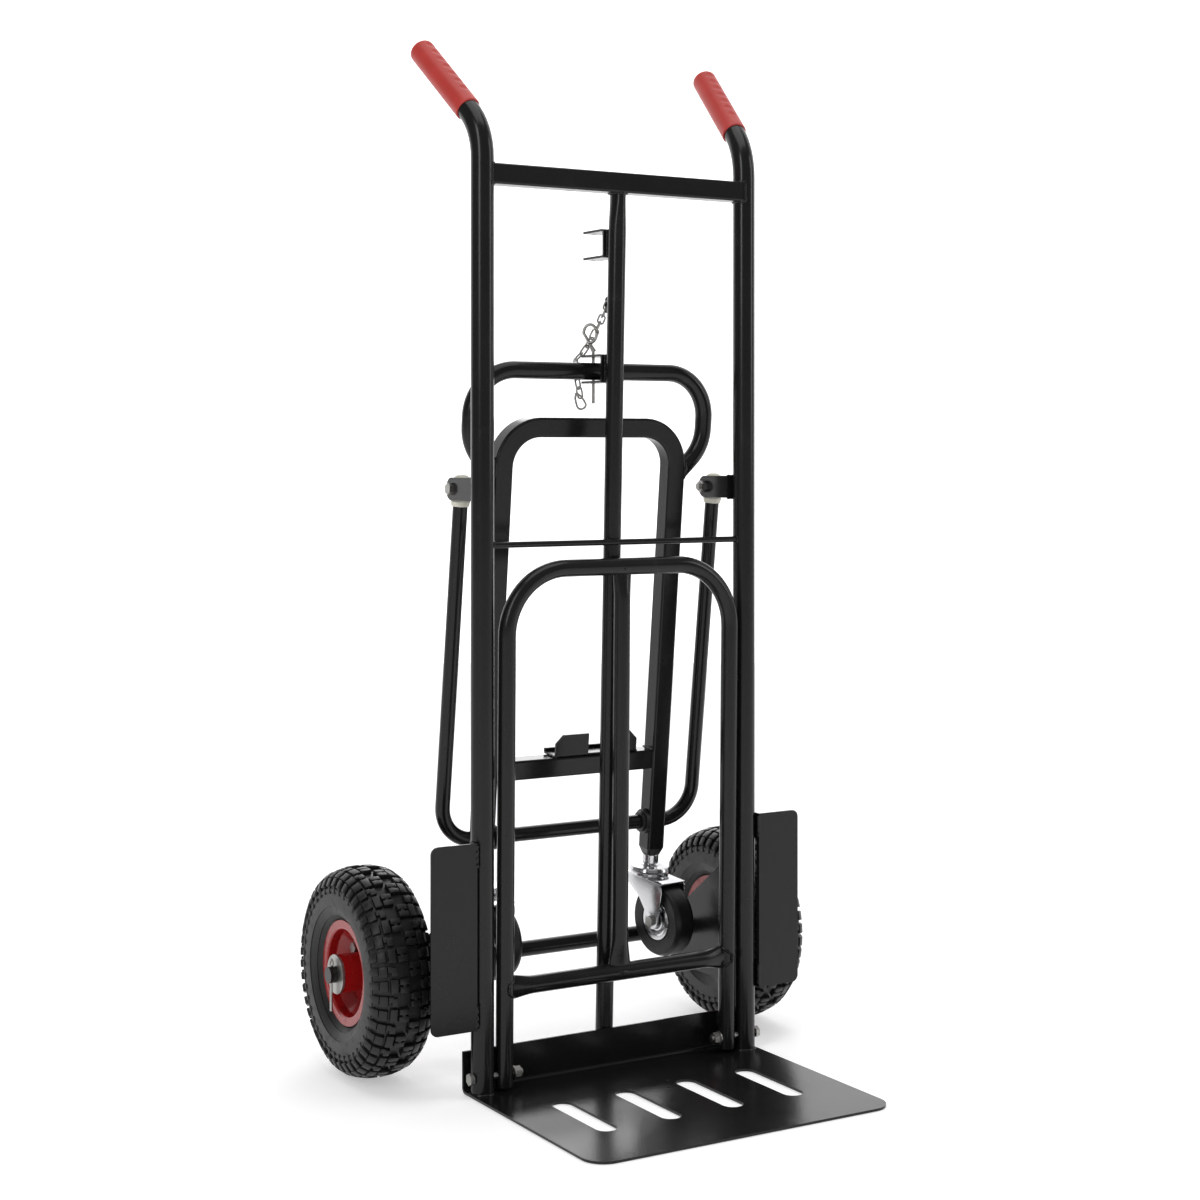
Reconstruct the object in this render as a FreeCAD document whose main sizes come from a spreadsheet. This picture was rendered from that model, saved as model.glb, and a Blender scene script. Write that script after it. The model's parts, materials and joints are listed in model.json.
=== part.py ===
"""Convertible hand truck, as a parametric FreeCAD document.

Millimetres.  +X is to the right seen from the front, +Y to the rear, +Z up.  The origin is on the
floor, midway between the two rails.  Every size is a cell of the sheet "dims"; each sub-part is an
object of the document whose sizes follow those cells, and is written to parts/ under its Label.
"""
import FreeCAD, Part
import Sketcher
import math
import os
import re

V = FreeCAD.Vector
Turn = FreeCAD.Rotation
X_AXIS = V(1, 0, 0)
Y_AXIS = V(0, 1, 0)
Z_AXIS = V(0, 0, 1)

doc = FreeCAD.newDocument("hand_truck")

# ---------------------------------------------------------------- driving sizes
SIZES = dict(
    # general fits
    weld_gap=0.05, loose_gap=0.3, run_gap=0.08,
    # rails and handles
    rail_x=189.0, rail_rad=14.0, rail_wall=1.8, rail_bend_z=1153.5, rail_bend_rad=80.0,
    handle_slope=48.6, handle_splay=9.4, handle_len=168.4,
    grip_rad=15.9, grip_len=131.0, grip_end_wall=3.5, grip_round=6.0,
    groove_rad=11.0, groove_deep=1.5, groove_pitch=15.5, groove_count=7.0, groove_first=24.0,
    # members between the rails
    bar_side=25.0, bar_wall=1.5, bar_corner=3.0, crossbar_z=1099.0,
    spine_rad=11.0, spine_wall=1.5, spine_foot_z=24.0,
    rod_rad=3.75, rod_z=655.5,
    # toe plate
    plate_side=16.0, plate_t=3.0, plate_front=289.0, plate_corner=28.0,
    upstand_back=22.0, upstand_z=50.0, plate_bend=4.5,
    slot_w=26.0, slot_len=124.0, slot_mid=138.0, slot_pitch=86.5,
    # wheel guards
    guard_t=2.0, guard_wide=75.0, guard_low=82.0, guard_high=304.0, guard_corner=9.0,
    guard_front=14.0, guard_notch_low=116.0, guard_notch_high=272.0,
    # axle and gussets
    axle_rad=10.0, axle_y=152.0, axle_z=128.0, axle_past=51.0,
    gusset_t=3.0, gusset_high=257.0, gusset_low=80.0, gusset_nose=24.0,
    spacer_rad=13.5, washer_rad=24.0, washer_t=3.0, split_rad=1.8, split_in=4.5,
    split_leg=34.0,
    # main wheels
    wheel_off=82.0, tyre_rad=128.0, tyre_half=41.0, tyre_wall=7.0, tread_half=31.0,
    bead_rad=52.5, bead_half=27.0, flange_rad=64.0, rim_t=2.5, cone_rad=42.6, seat_in=16.0,
    hub_rad=23.5, hub_half=38.0, bearing_rad=21.0, bearing_w=12.0,
    rim_bolt_rad=4.0, rim_bolt_circle=33.0, rim_bolt_count=4.0,
    tube_mid=93.0, tube_rad=25.0, tube_wall=2.0, valve_rad=3.3, valve_x=10.0, valve_tip=39.0,
    # fold-down toe extension
    ext_inset=28.5, ext_rad=10.75, ext_wall=1.5, ext_high=604.0, ext_corner=80.0, ext_foot=14.0,
    ext_y=-2.0, ext_z=22.0, ext_lean=0.8, ext_cross=103.0, ext_cross_rad=10.75,
    bolt_rad=4.0, hex_flats=13.0, head_t=5.3, nut_t=8.0, pivot_washer_rad=8.5,
    # stay hoop and its brackets
    stay_inset=4.5, stay_rad=9.25, stay_wall=1.5, stay_y=64.0, stay_z=722.0, stay_lean=7.3,
    stay_len=443.0, stay_corner=45.0, stay_top=9.0,
    strap_in=22.4, strap_t=2.5, strap_tall=28.0,
    bush_rad=10.9, bush_flange_rad=12.0, bush_flange_t=7.0, bush_dome=17.5,
    # castor frame
    arch_inset=62.5, arch_corner=50.0, arch_under=70.5, leg_foot=35.5, frame_lean=5.88,
    loop_rad=11.0, loop_wall=1.5, loop_inset=18.4, loop_drop=2.308, knee_under=94.5,
    loop_corner=58.0, loop_bite=1.5,
    member_up=85.0, saddle_left=-33.0, saddle_right=87.0, saddle_t=3.0, saddle_tall=29.0,
    saddle_ear=48.0, saddle_chamfer=11.0, saddle_lip=7.0, saddle_deep=6.0,
    collar_rad=16.0, collar_t=5.0, collar_step_rad=13.0, collar_step=4.0, collar_neck_rad=11.0,
    plug_below=9.0, plug_tip=18.0, plug_up=22.0,
    # castors
    boss_rad=10.5, boss_t=12.5, stem_rad=5.5, cap_rad=27.5, cap_t=6.5, king_rad=6.0,
    king_head_rad=9.0, king_head_t=2.7, castor_turn=6.0, castor_trail=35.0, castor_drop=123.0,
    castor_rad=47.0, castor_w=30.0, castor_hub_rad=27.5, cover_rad=26.5, cover_t=2.2,
    fork_in=36.0, fork_t=2.5, fork_top=46.0, fork_foot_rad=11.0, fork_plate_rad=25.0,
    castor_bolt_rad=4.0,
    # clips, lock pin and chain
    clip_w=25.0, clip_t=3.0, clip_tall=35.8, clip_reach=50.0, clip_lower_z=870.8,
    clip_upper_z=1026.0,
    pin_rad=2.2, pin_play=0.6, pin_y=59.5, pin_low=828.0, pin_neck=896.0, pin_loop_wide=26.0,
    pin_loop_tall=36.0, pin_back=17.5, pin_back_low=852.0, pin_turn=68.0,
    tab_z=950.0, tab_t=3.0, tab_tall=20.0, tab_reach=13.0,
    link_wire=1.0, link_len=12.0, link_w=6.6,
)

# places that follow from the sizes above
TIED = dict(
    stay_x="rail_x - stay_inset",
    ext_x="rail_x - ext_inset",
    arch_x="rail_x - arch_inset",
    loop_x="rail_x - loop_inset",
    loop_root="arch_x + loop_bite",
    loop_top="(clip_lower_z - loop_drop - stay_z + stay_len * cos(stay_lean)) / cos(frame_lean)",
    loop_knee="loop_top - knee_under",
    arch_top="loop_top - arch_under",
    wheel_x="rail_x + wheel_off",
    guard_out="rail_x + guard_wide",
    plate_x="2 * (rail_x + plate_side)",
    axle_half="wheel_x + axle_past",
    split_x="axle_half - split_in",
)

dims = doc.addObject("Spreadsheet::Sheet", "dims")
for row, (alias, value) in enumerate({**SIZES, **TIED}.items(), start=1):
    dims.set(f"A{row}", f"={value}")
    dims.setAlias(f"A{row}", alias)
doc.recompute()

WORD = re.compile(r"[a-z][a-z_]*")


def cells(text):
    """The expression with each size name turned into a reference to its cell."""
    return WORD.sub(lambda m: f"dims.{m.group()}" if m.group() in {**SIZES, **TIED} else m.group(), text)


def number(text):
    """The value of an expression on the sheet."""
    found = dims.evalExpression(cells(text))
    return float(getattr(found, "Value", found))


# ---------------------------------------------------------------- ways of making a piece
SUB_PARTS = []


def keep(piece, label):
    """Names a finished sub-part, so that it is checked and written."""
    piece.Label = label
    SUB_PARTS.append(piece)
    return piece


def new_body(label, base=("0", "0", "0"), tilt=None, turn=None):
    """A body at a place given by expressions; tilt turns it about X, turn is any fixed rotation."""
    body = doc.addObject("PartDesign::Body", label)
    if tilt:
        body.Placement = FreeCAD.Placement(V(), Turn(X_AXIS, number(tilt)))
        body.setExpression("Placement.Rotation.Angle", cells(tilt))
    if turn:
        body.Placement = FreeCAD.Placement(V(), turn)
    for axis, text in zip("xyz", base):
        body.setExpression(f"Placement.Base.{axis}", cells(text))
    return keep(body, label)


def sketch_on(body, plane, offset=None, spin=None):
    """A sketch on one of the body's origin planes, moved along its normal by offset."""
    sketch = body.newObject("Sketcher::SketchObject", "Sketch")
    support = [f for f in body.Origin.OriginFeatures if f.Role == plane + "_Plane"][0]
    sketch.AttachmentSupport = [(support, "")]
    sketch.MapMode = "FlatFace"
    if spin:
        sketch.AttachmentOffset = FreeCAD.Placement(V(), Turn(Y_AXIS, number(spin)))
    if offset:
        sketch.setExpression("AttachmentOffset.Base.z", cells(offset))
    return sketch


def constrain(sketch, wanted):
    """Adds the constraints in one go; a dimension ends in an expression that its value follows."""
    made = []
    for kind, *args in wanted:
        value = [number(args[-1])] if isinstance(args[-1], str) else [args[-1]]
        made.append(Sketcher.Constraint(kind, *args[:-1], *value))
    first = sketch.ConstraintCount
    sketch.addConstraint(made)
    for i, (kind, *args) in enumerate(wanted, start=first):
        if isinstance(args[-1], str):
            sketch.setExpression(f"Constraints[{i}]", cells(args[-1]))


def spot(geo, end, x, y):
    """The two dimensions that hold a point at x, y from the sketch's origin."""
    return [("DistanceX", -1, 1, geo, end, x), ("DistanceY", -1, 1, geo, end, y)]


def circle(sketch, x, y, radius):
    """A circle whose centre and radius follow the sheet."""
    centre = V(number(x), number(y), 0)
    geo = sketch.addGeometry(Part.Circle(centre, Z_AXIS, number(radius)))
    constrain(sketch, spot(geo, 3, x, y) + [("Radius", geo, radius)])


def outline(sketch, corners, closed=True):
    """Straight lines through corners (x, y) or (x, y, fillet radius), all bound to the sheet."""
    count = len(corners)
    points = [V(number(c[0]), number(c[1]), 0) for c in corners]
    starts = list(points)
    ends = list(points)
    arcs = {}
    arc_ends = {}
    for i, corner in enumerate(corners):
        if len(corner) < 3:
            continue
        before = (points[i - 1] - points[i]).normalize()
        after = (points[(i + 1) % count] - points[i]).normalize()
        half = before.getAngle(after) / 2
        radius = number(corner[2])
        ends[i] = points[i] + before * (radius / math.tan(half))
        starts[i] = points[i] + after * (radius / math.tan(half))
        centre = points[i] + (before + after).normalize() * (radius / math.sin(half))
        spread = math.pi / 2 - half
        facing = (points[i] - centre).normalize()
        middle = math.atan2(facing.y, facing.x)
        arc = Part.ArcOfCircle(Part.Circle(centre, Z_AXIS, radius), middle - spread, middle + spread)
        arcs[i] = sketch.addGeometry(arc)
        arc_ends[i] = (2, 1) if before.cross(after).z > 0 else (1, 2)
    lines = []
    for i in range(count if closed else count - 1):
        line = Part.LineSegment(starts[i], ends[(i + 1) % count])
        lines.append(sketch.addGeometry(line))
    wanted = []
    for i, corner in enumerate(corners):
        x, y = corner[:2]
        if not closed and i == 0:
            wanted += spot(lines[0], 1, x, y)
            continue
        if not closed and i == count - 1:
            wanted += spot(lines[-1], 2, x, y)
            continue
        into, out = lines[i - 1], lines[i]
        if i not in arcs:
            wanted += [("Coincident", into, 2, out, 1)] + spot(out, 1, x, y)
            continue
        arc = arcs[i]
        first, last = arc_ends[i]
        mark = sketch.addGeometry(Part.Point(points[i]), True)
        wanted += [("Tangent", into, 2, arc, first), ("Tangent", arc, last, out, 1),
                   ("Radius", arc, corner[2]), ("PointOnObject", mark, 1, into),
                   ("PointOnObject", mark, 1, out)] + spot(mark, 1, x, y)
    constrain(sketch, wanted)


def box_outline(sketch, x_low, x_high, y_low, y_high, corner=None):
    """A rectangle between four expressions, with rounded corners where a radius is given."""
    spots = [(x_low, y_low), (x_high, y_low), (x_high, y_high), (x_low, y_high)]
    outline(sketch, [s + (corner,) if corner else s for s in spots])


def pad(body, sketch, length, both=False, back=False):
    """A pad of the sketch; both spreads it equally to the two sides."""
    feature = body.newObject("PartDesign::Pad", "Pad")
    feature.Profile = sketch
    feature.SideType = "Symmetric" if both else "One side"
    feature.setExpression("Length", cells(length))
    feature.Reversed = back
    doc.recompute()
    return feature


def pocket(body, sketch, length="2000", both=True, back=False):
    """A pocket that must take material away, or the build stops."""
    before = body.Shape.Volume
    feature = body.newObject("PartDesign::Pocket", "Pocket")
    feature.Profile = sketch
    feature.SideType = "Symmetric" if both else "One side"
    feature.setExpression("Length", cells(length))
    feature.Reversed = back
    doc.recompute()
    if body.Shape.Volume > before - 0.01:
        raise RuntimeError(f"a pocket in {body.Label} cuts nothing")
    return feature


def revolve(body, sketch, axis="V_Axis"):
    """A full turn of the sketch about one of its own axes."""
    feature = body.newObject("PartDesign::Revolution", "Revolution")
    feature.Profile = sketch
    feature.ReferenceAxis = (sketch, [axis])
    feature.Angle = 360
    doc.recompute()
    return feature


def sweep(body, profile, spine):
    """A pipe of the profile along the spine."""
    feature = body.newObject("PartDesign::AdditivePipe", "Pipe")
    feature.Profile = profile
    feature.Spine = spine
    doc.recompute()
    return feature


def mirror(body, feature, plane="YZ"):
    """The features so far, mirrored in one of the body's origin planes."""
    image = body.newObject("PartDesign::Mirrored", "Mirrored")
    image.Originals = [feature]
    support = [f for f in body.Origin.OriginFeatures if f.Role == plane + "_Plane"][0]
    image.MirrorPlane = (support, [""])
    body.Tip = image
    doc.recompute()
    return image


def drill(body, plane, x, y, radius, spin=None):
    """A round hole right through, square to one of the origin planes."""
    sketch = sketch_on(body, plane, spin=spin)
    circle(sketch, x, y, radius)
    return pocket(body, sketch)


def ring(sketch, x, y, radius, wall):
    """The two circles of a round tube's section."""
    circle(sketch, x, y, radius)
    circle(sketch, x, y, f"{radius} - {wall}")


def square_ring(sketch, y_mid, z_mid, side, wall, corner):
    """The two rounded squares of a square tube's section."""
    for inset in ("0", wall):
        half = f"({side}) / 2 - {inset}"
        box_outline(sketch, f"{y_mid} - ({half})", f"{y_mid} + {half}",
                    f"{z_mid} - ({half})", f"{z_mid} + {half}", f"{corner} - {inset}")


def half_hoop(body, corners, radius, wall):
    """A hoop of round tube in the XZ plane: half of it is bent, then mirrored."""
    spine = sketch_on(body, "XZ")
    outline(spine, corners, closed=False)
    section = sketch_on(body, "YZ")
    ring(section, "0", corners[0][1], radius, wall)
    return mirror(body, sweep(body, section, spine))


def round_solid(label, radius, length, place):
    """A Part cylinder bound to the sheet, at a place worked out by the caller."""
    rod = doc.addObject("Part::Cylinder", label)
    rod.setExpression("Radius", cells(radius))
    rod.setExpression("Height", cells(length))
    rod.Placement = place
    return rod


def hex_solid(label, flats, length, place):
    """A Part prism with six sides, across-flats size bound to the sheet."""
    prism = doc.addObject("Part::Prism", label)
    prism.Polygon = 6
    prism.setExpression("Circumradius", cells(f"{flats} / 2 / cos(30)"))
    prism.setExpression("Height", cells(length))
    prism.Placement = place
    return prism


def at(x, y, z, turn=None):
    """A placement from three expressions."""
    return FreeCAD.Placement(V(number(x), number(y), number(z)), turn or Turn())


def joined(label, pieces):
    """One solid made of several Part objects."""
    fusion = doc.addObject("Part::MultiFuse", label)
    fusion.Shapes = pieces
    return fusion


def without(label, base, tool):
    """One Part object less another."""
    cut = doc.addObject("Part::Cut", label)
    cut.Base = base
    cut.Tool = tool
    return cut


def group(label, pieces):
    """Like pieces that share one node as separate solids."""
    bundle = doc.addObject("Part::Compound", label)
    bundle.Links = pieces
    return keep(bundle, label)


def toward(side):
    """The rotation that points a Part primitive's length along +X or -X."""
    return Turn(Y_AXIS, 90 * side)


def hex_bolt(label, side, head_x, y, z, shank, frame=None, radius="bolt_rad"):
    """A hexagon bolt along X: the head's bearing face at head_x, the shank running inwards."""
    frame = frame or FreeCAD.Placement()
    outward = toward(side)
    inward = toward(-side)
    head = hex_solid(label + "_head", "hex_flats", "head_t",
                     frame * at(f"{side} * ({head_x})", y, z, outward))
    rod = round_solid(label + "_shank", radius, f"{shank} + 1",
                      frame * at(f"{side} * ({head_x} + 1)", y, z, inward))
    return joined(label, [head, rod])


def hex_nut(label, side, face_x, y, z, frame=None, bore="bolt_rad", inward=True):
    """A lock nut along X whose bearing face is at face_x."""
    frame = frame or FreeCAD.Placement()
    way = toward(-side if inward else side)
    block = hex_solid(label + "_block", "hex_flats", "nut_t",
                      frame * at(f"{side} * ({face_x})", y, z, way))
    hole = round_solid(label + "_hole", f"{bore} + weld_gap", "nut_t * 3",
                       frame * at(f"{side} * ({face_x})", y, z, way))
    hole.Placement = hole.Placement * FreeCAD.Placement(V(0, 0, -number("nut_t")), Turn())
    return without(label, block, hole)


# ---------------------------------------------------------------- main frame
def rail(name, side):
    """Steel tube, straight from the toe plate to the bend, then back and out to the handle."""
    turn = Turn(Z_AXIS, -side * number("handle_splay"))
    body = new_body(f"{name}_rail", (f"{side} * rail_x", "0", "0"), turn=turn)
    spine = sketch_on(body, "YZ")
    tip = "(handle_len - grip_end_wall - weld_gap)"
    outline(spine, [("0", "plate_t + weld_gap"),
                    ("0", "rail_bend_z", "rail_bend_rad"),
                    (f"{tip} * sin(handle_slope)", f"rail_bend_z + {tip} * cos(handle_slope)")],
            closed=False)
    section = sketch_on(body, "XY", offset="plate_t + weld_gap")
    ring(section, "0", "0", "rail_rad", "rail_wall")
    sweep(body, section, spine)
    drill(body, "YZ", "ext_y", "ext_z", "bolt_rad + run_gap", spin=f"{side} * handle_splay")


def grip(name, side):
    """Moulded sleeve pushed over the handle, closed at the end, scalloped underneath."""
    away = Turn(Z_AXIS, -side * number("handle_splay")) * Turn(X_AXIS, -number("handle_slope"))
    start = "(handle_len - grip_len)"
    out = f"{start} * sin(handle_slope)"
    base = (f"{side} * (rail_x + {out} * sin(handle_splay))", f"{out} * cos(handle_splay)",
            f"rail_bend_z + {start} * cos(handle_slope)")
    body = new_body(f"{name}_grip", base, turn=away)
    section = sketch_on(body, "YZ")
    bore = "rail_rad + weld_gap"
    outline(section, [(bore, "0"), ("grip_rad", "0", "1.5"), ("grip_rad", "grip_len", "grip_round"),
                      ("0", "grip_len"), ("0", "grip_len - grip_end_wall"),
                      (bore, "grip_len - grip_end_wall")])
    revolve(body, section)
    groove = sketch_on(body, "YZ")
    circle(groove, "-(grip_rad + groove_rad - groove_deep)", "groove_first", "groove_rad")
    cut = pocket(body, groove, "grip_rad * 4")
    row = body.newObject("PartDesign::LinearPattern", "Grooves")
    row.Originals = [cut]
    up = [f for f in body.Origin.OriginFeatures if f.Role == "Z_Axis"][0]
    row.Direction = (up, [""])
    row.setExpression("Length", cells("groove_pitch * (groove_count - 1)"))
    row.setExpression("Occurrences", cells("groove_count"))
    body.Tip = row
    doc.recompute()


def top_crossbar():
    """Square tube, its ends coped round the two rails."""
    body = new_body("top_crossbar", ("0", "0", "crossbar_z"))
    section = sketch_on(body, "YZ")
    square_ring(section, "0", "0", "bar_side", "bar_wall", "bar_corner")
    pad(body, section, "2 * rail_x - rail_rad", both=True)
    for side in (-1, 1):
        drill(body, "XY", f"{side} * rail_x", "0", "rail_rad + weld_gap")


SPINE_TOP = "(crossbar_z - bar_side / 2 - weld_gap)"
SPINE_LEAN = f"atan((upstand_back + spine_rad + 3 * weld_gap) / ({SPINE_TOP} - upstand_z))"


def spine_y(height):
    """How far back the centre tube's middle is at a height."""
    return f"(({SPINE_TOP} - ({height})) * tan({SPINE_LEAN}))"


def centre_tube():
    """Round tube from under the crossbar down to the back of the toe plate's upstand."""
    body = new_body("centre_tube", ("0", "0", SPINE_TOP), tilt=SPINE_LEAN)
    section = sketch_on(body, "XY")
    ring(section, "0", "0", "spine_rad", "spine_wall")
    pad(body, section, f"({SPINE_TOP} - spine_foot_z) / cos({SPINE_LEAN})", back=True)
    drop = sketch_on(body, "YZ")
    outline(drop, [("-2 * spine_rad", "0"), ("2 * spine_rad", "0"),
                   ("2 * spine_rad", f"-2 * spine_rad * tan({SPINE_LEAN})")])
    pocket(body, drop, "spine_rad * 4")


ROD_Y = f"({spine_y('rod_z')} - spine_rad / cos({SPINE_LEAN}) - rod_rad - weld_gap)"


def cross_rod():
    """Thin round rod across the rails, touching the front of the centre tube."""
    body = new_body("cross_rod", ("0", ROD_Y, "rod_z"))
    section = sketch_on(body, "YZ")
    circle(section, "0", "0", "rod_rad")
    pad(body, section, "2 * rail_x - rail_rad", both=True)
    for side in (-1, 1):
        drill(body, "XY", f"{side} * rail_x", f"-{ROD_Y}", "rail_rad + weld_gap")


def toe_plate():
    """Sheet steel foot: a slotted shelf with round front corners and a bent-up back edge."""
    body = new_body("toe_plate")
    shelf = sketch_on(body, "XY")
    bend_y = "upstand_back - plate_t - plate_bend - 1"
    outline(shelf, [("-plate_x / 2", "-plate_front", "plate_corner"),
                    ("plate_x / 2", "-plate_front", "plate_corner"),
                    ("plate_x / 2", bend_y), ("-plate_x / 2", bend_y)])
    pad(body, shelf, "plate_t")
    back = sketch_on(body, "YZ")
    outline(back, [(bend_y, "0"), ("upstand_back", "0", "plate_bend + plate_t"),
                   ("upstand_back", "upstand_z"), ("upstand_back - plate_t", "upstand_z"),
                   ("upstand_back - plate_t", "plate_t", "plate_bend"), (bend_y, "plate_t")])
    pad(body, back, "plate_x", both=True)
    slot = sketch_on(body, "XY")
    reach = "slot_w / 2 - 0.01"
    box_outline(slot, "-1.5 * slot_pitch - slot_w / 2", "-1.5 * slot_pitch + slot_w / 2",
                "-slot_mid - slot_len / 2", "-slot_mid + slot_len / 2", reach)
    cut = pocket(body, slot, "plate_t * 4")
    row = body.newObject("PartDesign::LinearPattern", "Slots")
    row.Originals = [cut]
    across = [f for f in body.Origin.OriginFeatures if f.Role == "X_Axis"][0]
    row.Direction = (across, [""])
    row.setExpression("Length", cells("3 * slot_pitch"))
    row.Occurrences = 4
    body.Tip = row
    doc.recompute()


def wheel_guard(name, side):
    """Flat sheet in front of the tyre; its inner edge is bent back and welded to the rail."""
    body = new_body(f"wheel_guard_{name}")
    inner = f"{side} * (rail_x + rail_rad + weld_gap)"
    outer = f"{side} * guard_out"
    face = sketch_on(body, "XZ", offset="guard_front - guard_t")
    outline(face, [(inner, "guard_low"), (outer, "guard_low", "guard_corner"),
                   (outer, "guard_high", "guard_corner"), (inner, "guard_high")])
    pad(body, face, "guard_t")
    flange = sketch_on(body, "XY", offset="guard_low")
    fold = f"{side} * (rail_x + rail_rad + weld_gap + guard_t)"
    outline(flange, [(inner, "-guard_front"), (fold, "-guard_front"), (fold, "2"), (inner, "2")])
    pad(body, flange, "guard_high - guard_low")
    notch = sketch_on(body, "YZ")
    box_outline(notch, "guard_t * 3 - guard_front", "3", "guard_notch_low", "guard_notch_high", "3")
    pocket(body, notch)


def axle_gusset(name, side):
    """Steel web behind each rail that carries the axle."""
    body = new_body(f"axle_gusset_{name}", (f"{side} * rail_x", "0", "0"))
    web = sketch_on(body, "YZ")
    outline(web, [("rail_rad + weld_gap", "gusset_low"),
                  ("axle_y + gusset_nose * 0.35", "gusset_low", "gusset_nose"),
                  ("axle_y + gusset_nose", "axle_z", "gusset_nose * 0.7"),
                  ("axle_y + gusset_nose * 0.2", "axle_z + gusset_nose * 1.05", "gusset_nose * 0.4"),
                  ("rail_rad + weld_gap", "gusset_high")])
    pad(body, web, "gusset_t", both=True)
    drill(body, "YZ", "axle_y", "axle_z", "axle_rad + weld_gap")


def axle():
    """Solid round axle through both gussets, with a cross hole near each end."""
    body = new_body("axle", ("0", "axle_y", "axle_z"))
    section = sketch_on(body, "YZ")
    circle(section, "0", "0", "axle_rad")
    pad(body, section, "2 * axle_half", both=True)
    for side in (-1, 1):
        drill(body, "XY", f"{side} * split_x", "0", "split_rad + 0.4")


HUB_IN = "(wheel_x - hub_half)"
HUB_OUT = "(wheel_x + hub_half)"


def tube_piece(label, side, start, length, outer, bore):
    """A plain sleeve on the axle."""
    place = at(f"{side} * ({start})", "axle_y", "axle_z", toward(side))
    skin = round_solid(label + "_skin", outer, length, place)
    hole = round_solid(label + "_bore", bore, length + " * 3", place)
    hole.Placement = place * FreeCAD.Placement(V(0, 0, -number(length)), Turn())
    return without(label, skin, hole)


def axle_collars():
    """Spacer between gusset and hub, and the washer outside the hub, on each side."""
    pieces = []
    for name, side in SIDES:
        gap = f"({HUB_IN} - rail_x - gusset_t / 2 - 2 * loose_gap)"
        pieces.append(tube_piece(f"axle_spacer_{name}", side,
                                 "rail_x + gusset_t / 2 + loose_gap", gap,
                                 "spacer_rad", "axle_rad + run_gap"))
        pieces.append(tube_piece(f"axle_washer_{name}", side, f"{HUB_OUT} + loose_gap",
                                 "washer_t", "washer_rad", "axle_rad + run_gap"))
    group("axle_collars", pieces)


def split_pins():
    """Cotter through each axle end: an eye on top, two legs below."""
    pins = []
    for name, side in SIDES:
        x = f"{side} * split_x"
        shank = round_solid(f"split_shank_{name}", "split_rad", "axle_rad * 2 + split_leg",
                            at(x, "axle_y", "axle_z - axle_rad - split_leg"))
        eye = doc.addObject("Part::Torus", f"split_eye_{name}")
        eye.setExpression("Radius1", cells("split_rad * 2"))
        eye.setExpression("Radius2", cells("split_rad * 0.9"))
        eye.Placement = at(x, "axle_y", "axle_z + axle_rad + split_rad * 2.6", toward(1))
        pins.append(joined(f"split_pin_{name}", [shank, eye]))
    group("axle_split_pins", pins)


def clip(label, height, drilled):
    """U strap welded behind the centre tube; the loop handle's bar drops into its mouth."""
    back = f"({spine_y(height)} + spine_rad / cos({SPINE_LEAN}) + weld_gap + 0.5)"
    body = new_body(label, ("0", back, height))
    side = sketch_on(body, "YZ")
    outline(side, [("0", "-clip_tall / 2", "clip_t * 1.5"), ("0", "clip_tall / 2", "clip_t * 1.5"),
                   ("clip_reach", "clip_tall / 2"), ("clip_reach", "clip_tall / 2 - clip_t"),
                   ("clip_t", "clip_tall / 2 - clip_t", "clip_t / 2"),
                   ("clip_t", "clip_t - clip_tall / 2", "clip_t / 2"),
                   ("clip_reach", "clip_t - clip_tall / 2"), ("clip_reach", "-clip_tall / 2")])
    pad(body, side, "clip_w", both=True)
    if drilled:
        drill(body, "XY", "0", f"pin_y - {back}", "pin_rad + pin_play")


def chain_tab():
    """Small drilled lug behind the centre tube that holds the chain's first link."""
    back = f"({spine_y('tab_z')} + spine_rad / cos({SPINE_LEAN}) + weld_gap + 0.4)"
    body = new_body("chain_tab", ("0", back, "tab_z"))
    lug = sketch_on(body, "YZ")
    outline(lug, [("0", "-tab_tall / 2"), ("tab_reach", "-tab_tall / 2", "4"),
                  ("tab_reach", "tab_tall / 2", "4"), ("0", "tab_tall / 2")])
    pad(body, lug, "tab_t", both=True)
    drill(body, "YZ", "tab_reach - 4.5", "0", "2.6")


# ---------------------------------------------------------------- stay and its pivots
EAR_OUT = "(strap_in / 2 + strap_t)"


def stay_bracket(name, side):
    """U strap behind the rail: two rounded ears with the stay's pivot bolt through them."""
    body = new_body(f"stay_bracket_{name}", (f"{side} * stay_x", "stay_y", "stay_z"))
    ears = sketch_on(body, "YZ")
    outline(ears, [("rail_rad - stay_y - 3", "-strap_tall / 2"),
                   ("strap_tall / 2", "-strap_tall / 2", "strap_tall / 2 - 0.01"),
                   ("strap_tall / 2", "strap_tall / 2", "strap_tall / 2 - 0.01"),
                   ("rail_rad - stay_y - 3", "strap_tall / 2")])
    pad(body, ears, f"2 * {EAR_OUT}", both=True)
    inside = sketch_on(body, "XY")
    box_outline(inside, "-strap_in / 2", "strap_in / 2",
                "rail_rad - stay_y + strap_t + 1", "strap_tall")
    pocket(body, inside, "strap_tall * 2")
    drill(body, "YZ", "0", "0", "bolt_rad + run_gap")
    drill(body, "XY", f"{side} * (rail_x - stay_x)", "-stay_y", "rail_rad + weld_gap")


def stay_pivot_bolts():
    """Bolt through each bracket: head on the outer ear, lock nut on the inner one."""
    pieces = []
    for name, side in SIDES:
        out = f"stay_x + {EAR_OUT} + weld_gap"
        inn = f"stay_x - {EAR_OUT} - weld_gap"
        reach = f"2 * {EAR_OUT} + nut_t + 3"
        pieces.append(hex_bolt(f"stay_bolt_{name}", side, out, "stay_y", "stay_z", reach))
        pieces.append(hex_nut(f"stay_nut_{name}", side, inn, "stay_y", "stay_z"))
    group("stay_pivot_bolts", pieces)


STAY_BASE = ("0", "stay_y", "stay_z")


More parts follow.
